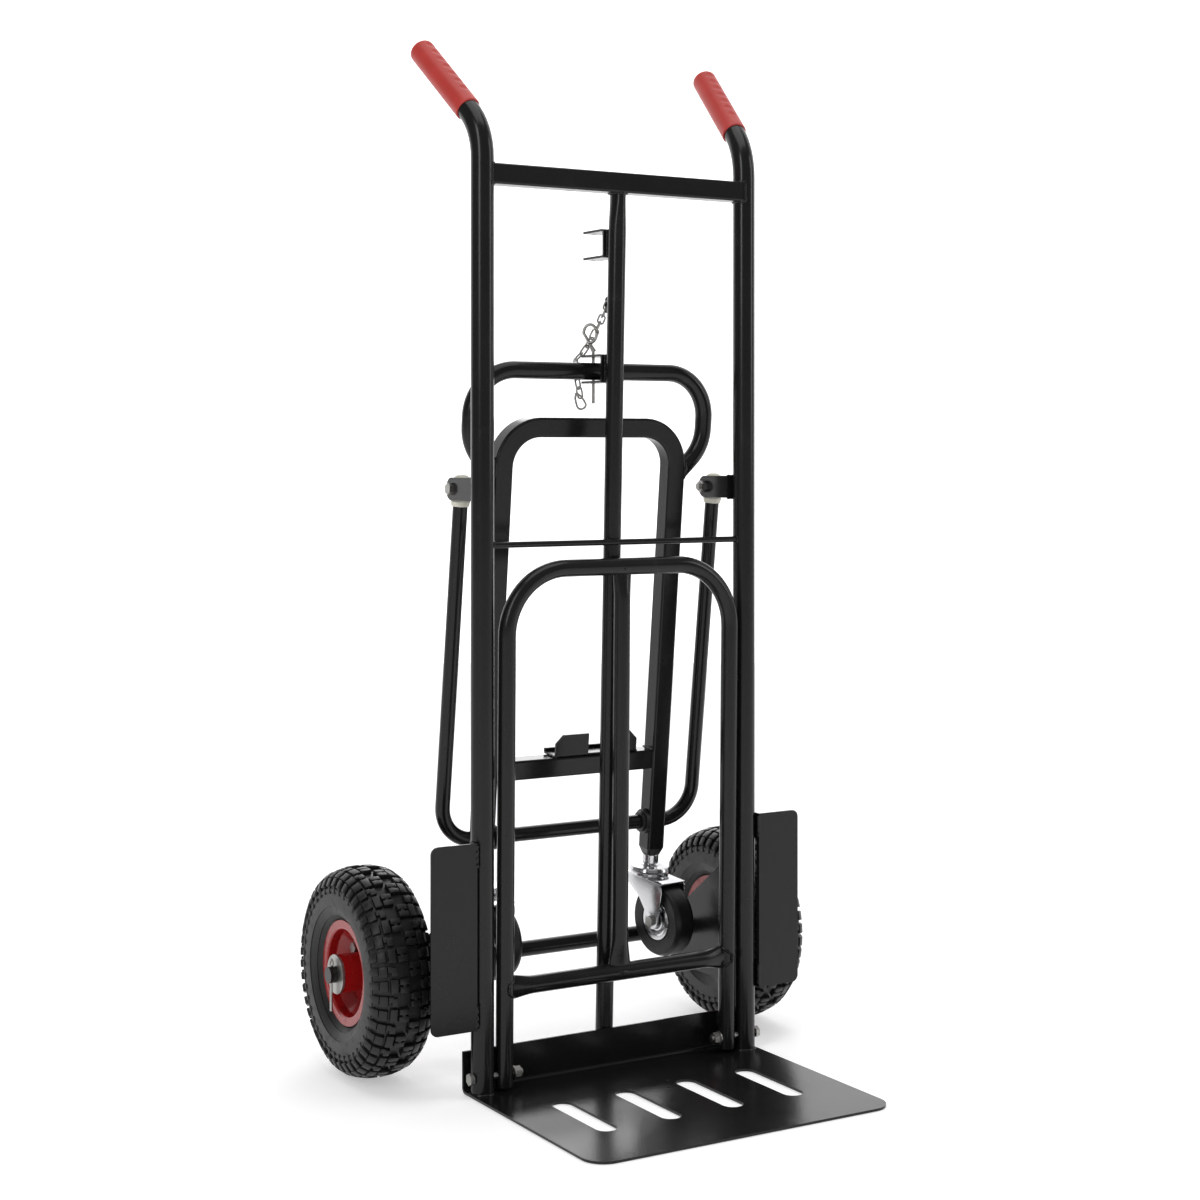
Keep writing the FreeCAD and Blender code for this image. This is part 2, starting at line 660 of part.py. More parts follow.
def stay_hoop():
    """U of round tube hung from the two pivots; its bottom bar carries the castor frame."""
    body = new_body("stay_hoop", STAY_BASE, tilt="stay_lean")
    half_hoop(body, [("0", "-stay_len"), ("stay_x", "-stay_len", "stay_corner"),
                     ("stay_x", "stay_top")], "stay_rad", "stay_wall")
    drill(body, "YZ", "0", "0", "bolt_rad + run_gap")


def stay_bushes():
    """Nylon cap on each end of the hoop: domed top, collar below, bolt hole across."""
    caps = []
    frame = at("0", "stay_y", "stay_z", Turn(X_AXIS, number("stay_lean")))
    for name, side in SIDES:
        body = doc.addObject("PartDesign::Body", f"stay_bush_{name}")
        body.Placement = frame * at(f"{side} * stay_x", "0", "0")
        low = "(-strap_tall / 2 - loose_gap - bush_flange_t)"
        section = sketch_on(body, "YZ")
        outline(section, [("stay_rad + weld_gap", low),
                          ("bush_flange_rad - 1", low, "1"),
                          ("bush_flange_rad", f"{low} + bush_flange_t", "1"),
                          ("bush_rad", f"{low} + bush_flange_t"),
                          ("bush_rad", "bush_dome", "bush_rad * 0.75"),
                          ("0", "bush_dome"), ("0", "stay_top + weld_gap"),
                          ("stay_rad + weld_gap", "stay_top + weld_gap")])
        revolve(body, section)
        drill(body, "YZ", "0", "0", "bolt_rad + run_gap")
        caps.append(body)
    group("stay_bushes", caps)


# ---------------------------------------------------------------- castor frame
BAR_Y = "(stay_y + stay_len * sin(stay_lean))"
BAR_Z = "(stay_z - stay_len * cos(stay_lean))"
FRAME_BASE = ("0", BAR_Y, BAR_Z)


def frame_place(x, y, z, turn=None):
    """A placement in the castor frame's own leaning axes."""
    return at(*FRAME_BASE, Turn(X_AXIS, number("frame_lean"))) * at(x, y, z, turn)


def castor_arch():
    """Square tube arch: two legs joined by a bent top; the stay's bar runs through the legs."""
    body = new_body("castor_arch", FRAME_BASE, tilt="frame_lean")
    spine = sketch_on(body, "XZ")
    outline(spine, [("0", "arch_top"), ("arch_x", "arch_top", "arch_corner"),
                    ("arch_x", "-leg_foot")], closed=False)
    section = sketch_on(body, "YZ")
    square_ring(section, "0", "arch_top", "bar_side", "bar_wall", "bar_corner")
    mirror(body, sweep(body, section, spine))
    drill(body, "YZ", "0", "0", "collar_neck_rad + weld_gap")


def loop_handle():
    """Round tube loop above the arch, its ends welded to the outer sides of the legs."""
    body = new_body("loop_handle", FRAME_BASE, tilt="frame_lean")
    half_hoop(body, [("0", "loop_top"), ("loop_x", "loop_top", "loop_corner"),
                     ("loop_x", "loop_knee", "loop_corner"),
                     ("loop_root", "loop_knee - (loop_x - loop_root)")], "loop_rad", "loop_wall")
    legs = sketch_on(body, "XZ")
    side = "arch_x + bar_side / 2 + weld_gap"
    box_outline(legs, f"-({side})", side, "0", "arch_top - arch_corner * 0.6")
    pocket(body, legs, "bar_side * 3")
    hole = sketch_on(body, "XY")
    hole.AttachmentOffset = FreeCAD.Placement(V(), Turn(X_AXIS, -number("frame_lean")))
    circle(hole, "0", f"pin_y - {BAR_Y}", "pin_rad + pin_play")
    pocket(body, hole)


def castor_cross_member():
    """Square tube between the arch's legs."""
    body = new_body("castor_cross_member", FRAME_BASE, tilt="frame_lean")
    section = sketch_on(body, "YZ")
    square_ring(section, "0", "member_up", "bar_side", "bar_wall", "bar_corner")
    pad(body, section, "2 * (arch_x - bar_side / 2 - weld_gap)", both=True)


def saddle_bracket():
    """Sheet saddle on the cross-member: two ears in front with a notch between, a lip behind."""
    body = new_body("saddle_bracket", FRAME_BASE, tilt="frame_lean")
    seat = "(member_up + bar_side / 2 + weld_gap)"
    profile = sketch_on(body, "YZ")
    front = "-bar_side / 2"
    outline(profile, [(front, seat, "saddle_t"), ("bar_side / 2 + saddle_deep", seat, "saddle_t"),
                      ("bar_side / 2 + saddle_deep", f"{seat} + saddle_lip"),
                      ("bar_side / 2 + saddle_deep - saddle_t", f"{seat} + saddle_lip"),
                      ("bar_side / 2 + saddle_deep - saddle_t", f"{seat} + saddle_t"),
                      (f"{front} + saddle_t", f"{seat} + saddle_t"),
                      (f"{front} + saddle_t", f"{seat} + saddle_tall"),
                      (front, f"{seat} + saddle_tall")])
    pad(body, profile, "saddle_right - saddle_left", both=True)
    profile.setExpression("AttachmentOffset.Base.z", cells("(saddle_right + saddle_left) / 2"))
    doc.recompute()
    top = f"{seat} + saddle_tall"
    trim = sketch_on(body, "XZ")
    outline(trim, [("saddle_left + saddle_ear", f"{seat} + saddle_t + 0.5"),
                   ("saddle_right - saddle_ear", f"{seat} + saddle_t + 0.5"),
                   ("saddle_right - saddle_ear", f"{top} + 5"),
                   ("saddle_left + saddle_ear", f"{top} + 5")])
    pocket(body, trim, "bar_side / 2 + 2", both=False, back=True)
    for edge, inward in (("saddle_left", 1), ("saddle_right", -1)):
        corner = sketch_on(body, "XZ")
        past = f"{edge} - {inward} * 5"
        inner = f"{edge} + {inward} * saddle_chamfer"
        outline(corner, [(edge, f"{top} - saddle_chamfer"), (inner, top), (inner, f"{top} + 5"),
                         (past, f"{top} + 5"), (past, f"{top} - saddle_chamfer")])
        pocket(body, corner, "bar_side * 4")


def pivot_collars():
    """Stepped plastic bush in each leg, round the stay's bar."""
    rings = []
    for name, side in SIDES:
        body = doc.addObject("PartDesign::Body", f"pivot_collar_{name}")
        body.Placement = frame_place("0", "0", "0")
        inner = "(arch_x - bar_side / 2 - weld_gap)"
        bore = "stay_rad + run_gap"
        section = sketch_on(body, "XZ")
        outline(section, [(f"{side} * ({inner} + bar_side)", bore),
                          (f"{side} * ({inner} + bar_side)", "collar_neck_rad"),
                          (f"{side} * {inner}", "collar_neck_rad"),
                          (f"{side} * {inner}", "collar_rad"),
                          (f"{side} * ({inner} - collar_t)", "collar_rad", "1"),
                          (f"{side} * ({inner} - collar_t)", "collar_step_rad"),
                          (f"{side} * ({inner} - collar_t - collar_step)", "collar_step_rad", "1"),
                          (f"{side} * ({inner} - collar_t - collar_step)", bore)])
        revolve(body, section, "H_Axis")
        rings.append(body)
    group("pivot_collars", rings)


def leg_plugs():
    """Plastic insert in the foot of each leg, tapered below it, bored for the castor's stem."""
    plugs = []
    for name, side in SIDES:
        body = doc.addObject("PartDesign::Body", f"leg_plug_{name}")
        body.Placement = frame_place(f"{side} * arch_x", "0", "0")
        inner = "(bar_side / 2 - bar_wall - weld_gap)"
        upper = sketch_on(body, "XY", offset="-leg_foot - weld_gap")
        box_outline(upper, f"-{inner}", inner, f"-{inner}", inner, "bar_corner - bar_wall")
        pad(body, upper, "plug_up")
        rim = sketch_on(body, "XY", offset="-leg_foot - weld_gap")
        half = "(bar_side / 2 - 0.3)"
        box_outline(rim, f"-{half}", half, f"-{half}", half, "bar_corner")
        tip = sketch_on(body, "XY", offset="-leg_foot - weld_gap - plug_below")
        box_outline(tip, "-plug_tip / 2", "plug_tip / 2", "-plug_tip / 2", "plug_tip / 2",
                    "bar_corner")
        taper = body.newObject("PartDesign::AdditiveLoft", "Taper")
        taper.Profile = rim
        taper.Sections = [tip]
        taper.Ruled = True
        doc.recompute()
        drill(body, "XY", "0", "0", "stem_rad + weld_gap")
        plugs.append(body)
    group("leg_plugs", plugs)


STEM_FOOT = "(-leg_foot - plug_below - 3 * weld_gap)"
CAP_TOP = f"({STEM_FOOT} - boss_t)"
FORK_TOP = f"({CAP_TOP} - cap_t - loose_gap)"


def castor_stems():
    """Plated stem, boss and raceway cap in one turned piece, with the riveted kingpin below."""
    stems = []
    for name, side in SIDES:
        body = doc.addObject("PartDesign::Body", f"castor_stem_{name}")
        body.Placement = frame_place(f"{side} * arch_x", "0", "0")
        under = f"({FORK_TOP} - fork_t - loose_gap)"
        section = sketch_on(body, "XZ")
        outline(section, [("0", "-leg_foot + plug_up - 4"), ("stem_rad", "-leg_foot + plug_up - 4", "1"),
                          ("stem_rad", STEM_FOOT), ("boss_rad", STEM_FOOT, "0.8"),
                          ("boss_rad", CAP_TOP, "2"), ("cap_rad - 2", f"{CAP_TOP} - 2.2", "2"),
                          ("cap_rad", f"{CAP_TOP} - cap_t"), ("king_rad", f"{CAP_TOP} - cap_t"),
                          ("king_rad", under), ("king_head_rad", under),
                          ("king_head_rad - 1", f"{under} - king_head_t"),
                          ("0", f"{under} - king_head_t")])
        revolve(body, section)
        stems.append(body)
    group("castor_stems", stems)


# ---------------------------------------------------------------- castor forks and wheels
def castor_place(side):
    """The castor's own axes: Z up the stem, X along the wheel's axle."""
    return frame_place(f"{side} * arch_x", "0", "0", Turn(Z_AXIS, number("castor_turn")))


def castor_body(label, side):
    body = doc.addObject("PartDesign::Body", label)
    body.Placement = castor_place(side)
    return keep(body, label)


def castor_fork(name, side):
    """Pressed steel fork: round top plate, two tapering cheeks down to the axle."""
    body = castor_body(f"castor_fork_{name}", side)
    cheeks = sketch_on(body, "YZ")
    reach = "(fork_top / 2)"
    outline(cheeks, [(f"{reach} - 4", FORK_TOP), (f"-{reach} - 3", FORK_TOP, "6"),
                     ("-castor_trail - fork_foot_rad", "-castor_drop + 6"),
                     ("-castor_trail - fork_foot_rad", "-castor_drop - fork_foot_rad",
                      "fork_foot_rad - 0.5"),
                     ("-castor_trail + fork_foot_rad", "-castor_drop - fork_foot_rad",
                      "fork_foot_rad - 0.5"),
                     ("-castor_trail + fork_foot_rad", "-castor_drop + 6"),
                     (f"{reach} - 4", f"{FORK_TOP} - 12")])
    pad(body, cheeks, "fork_in + 2 * fork_t", both=True)
    inside = sketch_on(body, "XZ")
    box_outline(inside, "-fork_in / 2", "fork_in / 2", "-castor_drop - 40",
                f"{FORK_TOP} - fork_t")
    pocket(body, inside)
    disc = sketch_on(body, "XY", offset=FORK_TOP)
    circle(disc, "0", "0", "fork_plate_rad")
    pad(body, disc, "fork_t", back=True)
    drill(body, "XY", "0", "0", "king_rad + run_gap")
    drill(body, "YZ", "-castor_trail", "-castor_drop", "castor_bolt_rad + weld_gap")


def castor_axle(name, side):
    """Bolt and nut through the fork's cheeks."""
    frame = castor_place(side)
    cheek = "fork_in / 2 + fork_t + weld_gap"
    y = "-castor_trail"
    z = "-castor_drop"
    bolt = hex_bolt(f"castor_bolt_{name}", -1, cheek, y, z, "fork_in + 2 * fork_t + nut_t + 2",
                    frame, "castor_bolt_rad")
    nut = hex_nut(f"castor_nut_{name}", 1, cheek, y, z, frame, "castor_bolt_rad", inward=False)
    group(f"castor_axle_{name}", [bolt, nut])


def wheel_at_castor(label, side):
    """A body whose origin is the castor wheel's centre, with the axle along X."""
    body = doc.addObject("PartDesign::Body", label)
    body.Placement = castor_place(side) * at("0", "-castor_trail", "-castor_drop")
    return body


def castor_wheel(name, side):
    """Rubber tyre on a moulded hub, with a ringed steel cover each side."""
    tyre = keep(wheel_at_castor(f"castor_tyre_{name}", side), f"castor_tyre_{name}")
    half = "castor_w / 2"
    section = sketch_on(tyre, "XZ")
    outline(section, [(f"-{half} + 1", "castor_hub_rad"), (f"{half} - 1", "castor_hub_rad"),
                      (half, "castor_rad - 3", "3"), (f"{half} - 6", "castor_rad", "8"),
                      (f"-{half} + 6", "castor_rad", "8"), (f"-{half}", "castor_rad - 3", "3")])
    revolve(tyre, section, "H_Axis")
    hub = keep(wheel_at_castor(f"castor_hub_{name}", side), f"castor_hub_{name}")
    core = sketch_on(hub, "XZ")
    bore = "castor_bolt_rad + run_gap"
    seat = f"{half} - 1 - cover_t"
    outline(core, [(f"-({half} + 2)", bore), (f"{half} + 2", bore), (f"{half} + 2", "8"),
                   (seat, "8"), (seat, "castor_hub_rad - weld_gap"),
                   (f"-({seat})", "castor_hub_rad - weld_gap"), (f"-({seat})", "8"),
                   (f"-({half} + 2)", "8")])
    revolve(hub, core, "H_Axis")
    covers = []
    for face in (-1, 1):
        cover = wheel_at_castor(f"castor_cover_{name}", side)
        ringed = sketch_on(cover, "XZ")
        inner = f"{face} * ({seat} + weld_gap)"
        outer = f"{face} * ({seat} + cover_t)"
        outline(ringed, [(inner, "8 + weld_gap"), (inner, "cover_rad"), (outer, "cover_rad - 1"),
                         (outer, "cover_rad - 6"), (f"{face} * ({seat} + cover_t * 0.6)", "cover_rad - 8"),
                         (f"{face} * ({seat} + cover_t * 0.6)", "cover_rad - 13"),
                         (outer, "cover_rad - 15"), (outer, "8 + weld_gap")])
        revolve(cover, ringed, "H_Axis")
        covers.append(cover)
    group(f"castor_covers_{name}", covers)


# ---------------------------------------------------------------- main wheels
def wheel_body(label, side):
    body = new_body(label, (f"{side} * wheel_x", "axle_y", "axle_z"))
    return body


def tyre(name, side):
    """Pneumatic tyre: a C section open at the rim."""
    body = wheel_body(f"tyre_{name}", side)
    wide, wall = "tyre_half", "tyre_wall"
    seat = "bead_rad + rim_t + weld_gap"
    right = [("seat_in + 1.5", seat), ("bead_half - weld_gap", seat, "2.5"),
             ("bead_half - weld_gap", "flange_rad + weld_gap"), (wide, "flange_rad + 14", "12"),
             (wide, "tyre_rad - 15", "9"), ("tread_half", "tyre_rad", "9")]
    inner = [("seat_in + 1.5", "flange_rad - 1", "2"), (f"{wide} - {wall}", "flange_rad + 17", "10"),
             (f"{wide} - {wall}", "tyre_rad - 18", "7"), ("tread_half - 4", "tyre_rad - 10", "5")]
    def flip(corners):
        return [(f"-({c[0]})",) + tuple(c[1:]) for c in reversed(corners)]
    section = sketch_on(body, "XZ")
    outline(section, right + flip(right) + [(f"-({c[0]})",) + tuple(c[1:]) for c in inner]
            + list(reversed(inner)))
    revolve(body, section, "H_Axis")


def inner_tube(name, side):
    """Butyl tube in the tyre, with its valve stem through the outer rim half."""
    centre = at(f"{side} * wheel_x", "axle_y", "axle_z", toward(1))
    skin = doc.addObject("Part::Torus", f"tube_skin_{name}")
    skin.setExpression("Radius1", cells("tube_mid"))
    skin.setExpression("Radius2", cells("tube_rad"))
    skin.Placement = centre
    air = doc.addObject("Part::Torus", f"tube_air_{name}")
    air.setExpression("Radius1", cells("tube_mid"))
    air.setExpression("Radius2", cells("tube_rad - tube_wall"))
    air.Placement = centre
    ring_part = without(f"tube_ring_{name}", skin, air)
    stem = round_solid(f"valve_{name}", "valve_rad", "tube_mid - tube_rad + tube_wall * 1.2 - valve_tip",
                       at(f"{side} * (wheel_x + valve_x)", "axle_y", "axle_z + valve_tip"))
    keep(joined(f"inner_tube_{name}", [ring_part, stem]), f"inner_tube_{name}")


def rim_half(name, side, face, label):
    """One pressed half of the rim: flange, bead seat, cone and a flat centre."""
    body = wheel_body(f"{label}_{name}", side)
    way = face * side
    web = "weld_gap"
    seat = "bead_rad + rim_t"
    slant = "seat_in"
    section = sketch_on(body, "XZ")
    line = [(web, "hub_rad + weld_gap"), (web, "cone_rad + 1.5"), (slant, seat, "2"),
            ("bead_half", seat, "2"), ("bead_half", "flange_rad"),
            ("bead_half + rim_t", "flange_rad"), ("bead_half + rim_t", "bead_rad", "3"),
            (f"{slant} + 1", "bead_rad", "3"), (f"{web} + rim_t", "cone_rad", "1"),
            (f"{web} + rim_t", "hub_rad + weld_gap")]
    outline(section, [(f"{way} * ({c[0]})",) + tuple(c[1:]) for c in line])
    revolve(body, section, "H_Axis")
    bolt = sketch_on(body, "YZ")
    diagonal = "rim_bolt_circle * sin(45)"
    circle(bolt, diagonal, diagonal, "rim_bolt_rad + 0.2")
    cut = pocket(body, bolt)
    spokes = body.newObject("PartDesign::PolarPattern", "Bolt_holes")
    spokes.Originals = [cut]
    hub_line = [f for f in body.Origin.OriginFeatures if f.Role == "X_Axis"][0]
    spokes.Axis = (hub_line, [""])
    spokes.Angle = 360
    spokes.setExpression("Occurrences", cells("rim_bolt_count"))
    body.Tip = spokes
    doc.recompute()
    if face > 0:
        valve = sketch_on(body, "XY", offset="valve_tip")
        circle(valve, f"{side} * valve_x", "0", "valve_rad + 0.5")
        pocket(body, valve, "60", both=False, back=True)


def hub(name, side):
    """Steel hub tube welded through the rim, bored at both ends for the bearings."""
    body = wheel_body(f"hub_{name}", side)
    section = sketch_on(body, "XZ")
    seat = "bearing_rad + weld_gap"
    shoulder = "(hub_half - bearing_w)"
    outline(section, [("-hub_half", "hub_rad"), ("hub_half", "hub_rad"), ("hub_half", seat),
                      (shoulder, seat), (shoulder, f"{seat} - 2"), (f"-{shoulder}", f"{seat} - 2"),
                      (f"-{shoulder}", seat), ("-hub_half", seat)])
    revolve(body, section, "H_Axis")


def bearings(name, side):
    """A pressed-in bearing at each end of the hub."""
    rings = []
    for face in (-1, 1):
        body = doc.addObject("PartDesign::Body", f"bearing_{name}")
        body.Placement = at(f"{side} * wheel_x", "axle_y", "axle_z")
        section = sketch_on(body, "XZ")
        near = f"{face} * (hub_half - bearing_w + weld_gap)"
        far = f"{face} * (hub_half - 0.4)"
        outline(section, [(near, "axle_rad + run_gap"), (far, "axle_rad + run_gap"),
                          (far, "bearing_rad"), (near, "bearing_rad")])
        revolve(body, section, "H_Axis")
        rings.append(body)
    group(f"bearings_{name}", rings)


def rim_bolts(name, side):
    """Bolts and nuts that clamp the two rim halves together."""
    pieces = []
    count = int(number("rim_bolt_count"))
    face = "rim_t + 2 * weld_gap"
    for i in range(count):
        frame = at(f"{side} * wheel_x", "axle_y", "axle_z", Turn(X_AXIS, 45 + 360 / count * i))
        bolt = hex_bolt(f"rim_bolt_{name}_{i}", side, face, "0", "rim_bolt_circle",
                        f"2 * ({face}) + nut_t", frame, "rim_bolt_rad")
        nut = hex_nut(f"rim_nut_{name}_{i}", side, f"-({face})", "0", "rim_bolt_circle", frame,
                      "rim_bolt_rad")
        pieces += [bolt, nut]
    group(f"rim_bolts_{name}", pieces)


# ---------------------------------------------------------------- fold-down extension
EXT_BASE = ("0", "ext_y", "ext_z")


def extension_hoop():
    """Tall hoop that stands against the centre tube and folds down over the toe plate."""
    body = new_body("extension_hoop", EXT_BASE, tilt="ext_lean")
    half_hoop(body, [("0", "ext_high"), ("ext_x", "ext_high", "ext_corner"),
                     ("ext_x", "-ext_foot")], "ext_rad", "ext_wall")
    drill(body, "YZ", "0", "0", "bolt_rad + run_gap")


def extension_cross_tube():
    """Round tube low between the hoop's legs, its ends coped round them."""
    body = new_body("extension_cross_tube", EXT_BASE, tilt="ext_lean")
    section = sketch_on(body, "YZ")
    ring(section, "0", "ext_cross", "ext_cross_rad", "ext_wall")
    pad(body, section, "2 * ext_x - ext_rad", both=True)
    for side in (-1, 1):
        drill(body, "XY", f"{side} * ext_x", "0", "ext_rad + weld_gap")


def extension_centre_tube():
    """Round tube up the middle of the hoop, from the cross tube to the top bar."""
    body = new_body("extension_centre_tube", EXT_BASE, tilt="ext_lean")
    low = "ext_cross"
    section = sketch_on(body, "XY", offset=low)
    ring(section, "0", "0", "ext_rad - 0.3", "ext_wall")
    pad(body, section, "ext_high - ext_cross")
    for height, radius in (("ext_cross", "ext_cross_rad"), ("ext_high", "ext_rad")):
        drill(body, "YZ", "0", height, f"{radius} + weld_gap")


def extension_pivot_bolts():
    """Bolt, washer and lock nut through each rail and the foot of the hoop's leg."""
    pieces = []
    for name, side in SIDES:
        out = "rail_x + rail_rad + weld_gap"
        inn = "ext_x - ext_rad - loose_gap"
        reach = f"({out}) - ({inn}) + 1.6 + nut_t + 3"
        pieces.append(hex_bolt(f"ext_bolt_{name}", side, out, "ext_y", "ext_z", reach))
        place = at(f"{side} * ({inn})", "ext_y", "ext_z", toward(-side))
        disc = round_solid(f"ext_disc_{name}", "pivot_washer_rad", "1.6", place)
        hole = round_solid(f"ext_disc_hole_{name}", "bolt_rad + run_gap", "6", place)
        hole.Placement = place * FreeCAD.Placement(V(0, 0, -3), Turn())
        pieces.append(without(f"ext_washer_{name}", disc, hole))
        pieces.append(hex_nut(f"ext_nut_{name}", side, f"{inn} - 1.6 - weld_gap", "ext_y", "ext_z"))
    group("extension_pivot_bolts", pieces)


# ---------------------------------------------------------------- lock pin and its chain
def lock_pin():
    """Spring wire pin: straight leg down through the clip, teardrop eye, bowed leg behind."""
    body = new_body("lock_pin", ("0", "pin_y", "0"), turn=Turn(Z_AXIS, number("pin_turn")))
    spine = sketch_on(body, "XZ")
    wide = "pin_loop_wide / 2"
    top = "pin_neck + pin_loop_tall"
    outline(spine, [("0", "pin_low"), ("0", "pin_neck", "10"),
                    (f"-({wide}) + 4", f"{top} - 16", "9"), (f"-({wide}) + 6", top, "8"),
                    (f"{wide} + 3", top, "8"), (f"{wide} + 5", f"{top} - 16", "9"),
                    ("pin_back - 5", "pin_neck + 4", "8"), ("pin_back + 1", "pin_neck - 12", "12"),
                    ("pin_back - 1", "pin_back_low")], closed=False)
    section = sketch_on(body, "XY", offset="pin_low")
    circle(section, "0", "0", "pin_rad")
    sweep(body, section, spine)


def link_shape(length, width, wire):
    """An oval ring of round wire in the XZ plane, centred on the origin."""
    bow = width / 2
    half = length / 2 - bow
    turns = []
    for end in (1, -1):
        arc = Part.makeTorus(bow, wire, V(0, 0, end * half), V(0, 1, 0), 0, 360)
        keep_side = Part.makeBox(length * 2, length * 2, length,
                                 V(-length, -length, half if end > 0 else -half - length))
        turns.append(arc.common(keep_side))
    for side in (-1, 1):
        turns.append(Part.makeCylinder(wire, 2 * half, V(side * bow, 0, -half), Z_AXIS))
    return turns[0].multiFuse(turns[1:]).removeSplitter()


def chain_points():
    """Places of the links: a row from the lug towards the pin's eye, then a tail behind the pin."""
    start = V(0, number(f"{spine_y('tab_z')} + spine_rad + tab_reach + 4"), number("tab_z - 8"))
    end = V(-3, number("pin_y - 10"), number("pin_neck + pin_loop_tall + 3"))
    pitch = number("link_len - 4 * link_wire") * 0.97
    way = (end - start).normalize()
    count = int((end - start).Length / pitch)
    spots = [(start + way * pitch * (i + 0.5), way) for i in range(count)]
    tail = V(-13, number("pin_y") + 17, number("pin_neck") + 18)
    for i in range(5):
        spots.append((tail + V(0, 0, -pitch * i), V(0, 0, -1)))
    return spots


def lock_chain():
    """Small wire chain that keeps the pin with the truck, as separate oval links."""
    link = link_shape(number("link_len"), number("link_w"), number("link_wire"))
    links = []
    for i, (spot, way) in enumerate(chain_points()):
        turn = Turn(Z_AXIS, way) * Turn(Z_AXIS, 90 * (i % 2) + 20)
        one = link.copy()
        one.Placement = FreeCAD.Placement(spot, turn)
        links.append(one)
    chain = doc.addObject("Part::Feature", "lock_chain")
    chain.Shape = Part.makeCompound(links)
    keep(chain, "lock_chain")


# ---------------------------------------------------------------- the whole truck
SIDES = (("left", -1), ("right", 1))


def build():
    for name, side in SIDES:
        rail(name, side)
        grip(name, side)
        wheel_guard(name, side)
        axle_gusset(name, side)
        stay_bracket(name, side)
    top_crossbar()
    centre_tube()
    cross_rod()
    toe_plate()
    axle()
    axle_collars()
    split_pins()
    clip("upper_clip", "clip_upper_z", True)
    clip("lower_clip", "clip_lower_z", True)
    chain_tab()
    stay_pivot_bolts()
    extension_hoop()
    extension_cross_tube()
    extension_centre_tube()
    extension_pivot_bolts()
    stay_hoop()
    stay_bushes()
    castor_arch()
    loop_handle()
    castor_cross_member()
    saddle_bracket()
    pivot_collars()
    leg_plugs()
    castor_stems()
    for name, side in SIDES:
        castor_fork(name, side)
        castor_axle(name, side)
        castor_wheel(name, side)
        tyre(name, side)
        inner_tube(name, side)
        rim_half(name, side, 1, "rim_outer")
        rim_half(name, side, -1, "rim_inner")
        hub(name, side)
        bearings(name, side)
        rim_bolts(name, side)
    lock_pin()
    lock_chain()


def check():
    """Stops the build if any object failed or any sub-part has no valid solid."""
    doc.recompute()
    for item in doc.Objects:
        if {"Invalid", "Error"} & set(item.State):
            raise RuntimeError(f"{item.Label} failed: {item.State}")
    for piece in SUB_PARTS:
        shape = piece.Shape
        if shape.isNull() or not shape.isValid() or not shape.Solids:
            raise RuntimeError(f"{piece.Label} has no valid solid")


def write():
    os.makedirs("parts", exist_ok=True)
    for piece in SUB_PARTS:
        piece.Shape.exportStep(f"parts/{piece.Label}.step")
    print(len(SUB_PARTS), "sub-parts written")


build()
check()
write()
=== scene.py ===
"""Convertible hand truck: the looks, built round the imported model.  Metres, +Z up."""
import bpy
import json
import math
import random
from mathutils import Matrix, Vector


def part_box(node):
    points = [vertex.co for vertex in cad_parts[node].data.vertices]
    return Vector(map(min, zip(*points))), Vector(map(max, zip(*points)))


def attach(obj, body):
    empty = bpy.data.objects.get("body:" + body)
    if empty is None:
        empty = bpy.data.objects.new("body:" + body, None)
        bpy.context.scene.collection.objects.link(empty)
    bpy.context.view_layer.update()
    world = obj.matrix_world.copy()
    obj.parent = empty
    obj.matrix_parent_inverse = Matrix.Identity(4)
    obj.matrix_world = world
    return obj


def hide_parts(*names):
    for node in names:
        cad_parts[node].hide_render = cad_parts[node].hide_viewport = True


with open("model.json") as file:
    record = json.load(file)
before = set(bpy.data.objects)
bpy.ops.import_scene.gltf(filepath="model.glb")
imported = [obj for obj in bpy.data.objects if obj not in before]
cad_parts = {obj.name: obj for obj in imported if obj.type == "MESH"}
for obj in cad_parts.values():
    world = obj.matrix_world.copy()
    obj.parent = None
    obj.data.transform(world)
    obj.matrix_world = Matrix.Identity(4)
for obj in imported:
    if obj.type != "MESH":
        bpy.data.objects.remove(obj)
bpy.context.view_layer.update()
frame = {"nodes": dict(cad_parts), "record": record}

# ---------------------------------------------------------------- room
# A pale studio floor, a bright wall behind, a dim world and four large soft lights.  The camera
# stands in front of the toe plate, to its left, at about the height of a waist.
bpy.ops.object.select_all(action="DESELECT")
bpy.ops.mesh.primitive_plane_add(size=30, location=(0, 0, -0.0006))
floor = bpy.context.object
floor.name = "studio_floor"
bpy.ops.mesh.primitive_plane_add(size=24, location=(2.6, 4.4, 0), rotation=(math.pi / 2, 0, -0.538))
wall = bpy.context.object
wall.name = "studio_wall"

world = bpy.data.worlds.new("studio")
bpy.context.scene.world = world
world.use_nodes = True
world.node_tree.nodes["Background"].inputs["Color"].default_value = (1.0, 1.0, 1.0, 1)
world.node_tree.nodes["Background"].inputs["Strength"].default_value = 0.22
bpy.context.scene.view_settings.view_transform = "Standard"


def soft_light(name, place, aim, width, height, power):
    """An area light at place that faces aim."""
    bpy.ops.object.light_add(type="AREA", location=place)
    lamp = bpy.context.object
    lamp.name = name
    lamp.data.shape = "RECTANGLE"
    lamp.data.size = width
    lamp.data.size_y = height
    lamp.data.energy = power
    lamp.rotation_euler = (Vector(aim) - Vector(place)).to_track_quat("-Z", "Y").to_euler()


soft_light("key", (-2.6, -1.6, 2.2), (0, 0, 0.6), 0.7, 2.4, 30)
soft_light("fill", (2.8, -1.8, 1.8), (0, 0, 0.6), 0.9, 2.2, 20)
soft_light("overhead", (0.0, -0.4, 3.4), (0, 0, 0), 2.6, 2.0, 34)
soft_light("rim", (1.4, 2.8, 2.2), (0, 0, 0.6), 1.2, 2.2, 18)

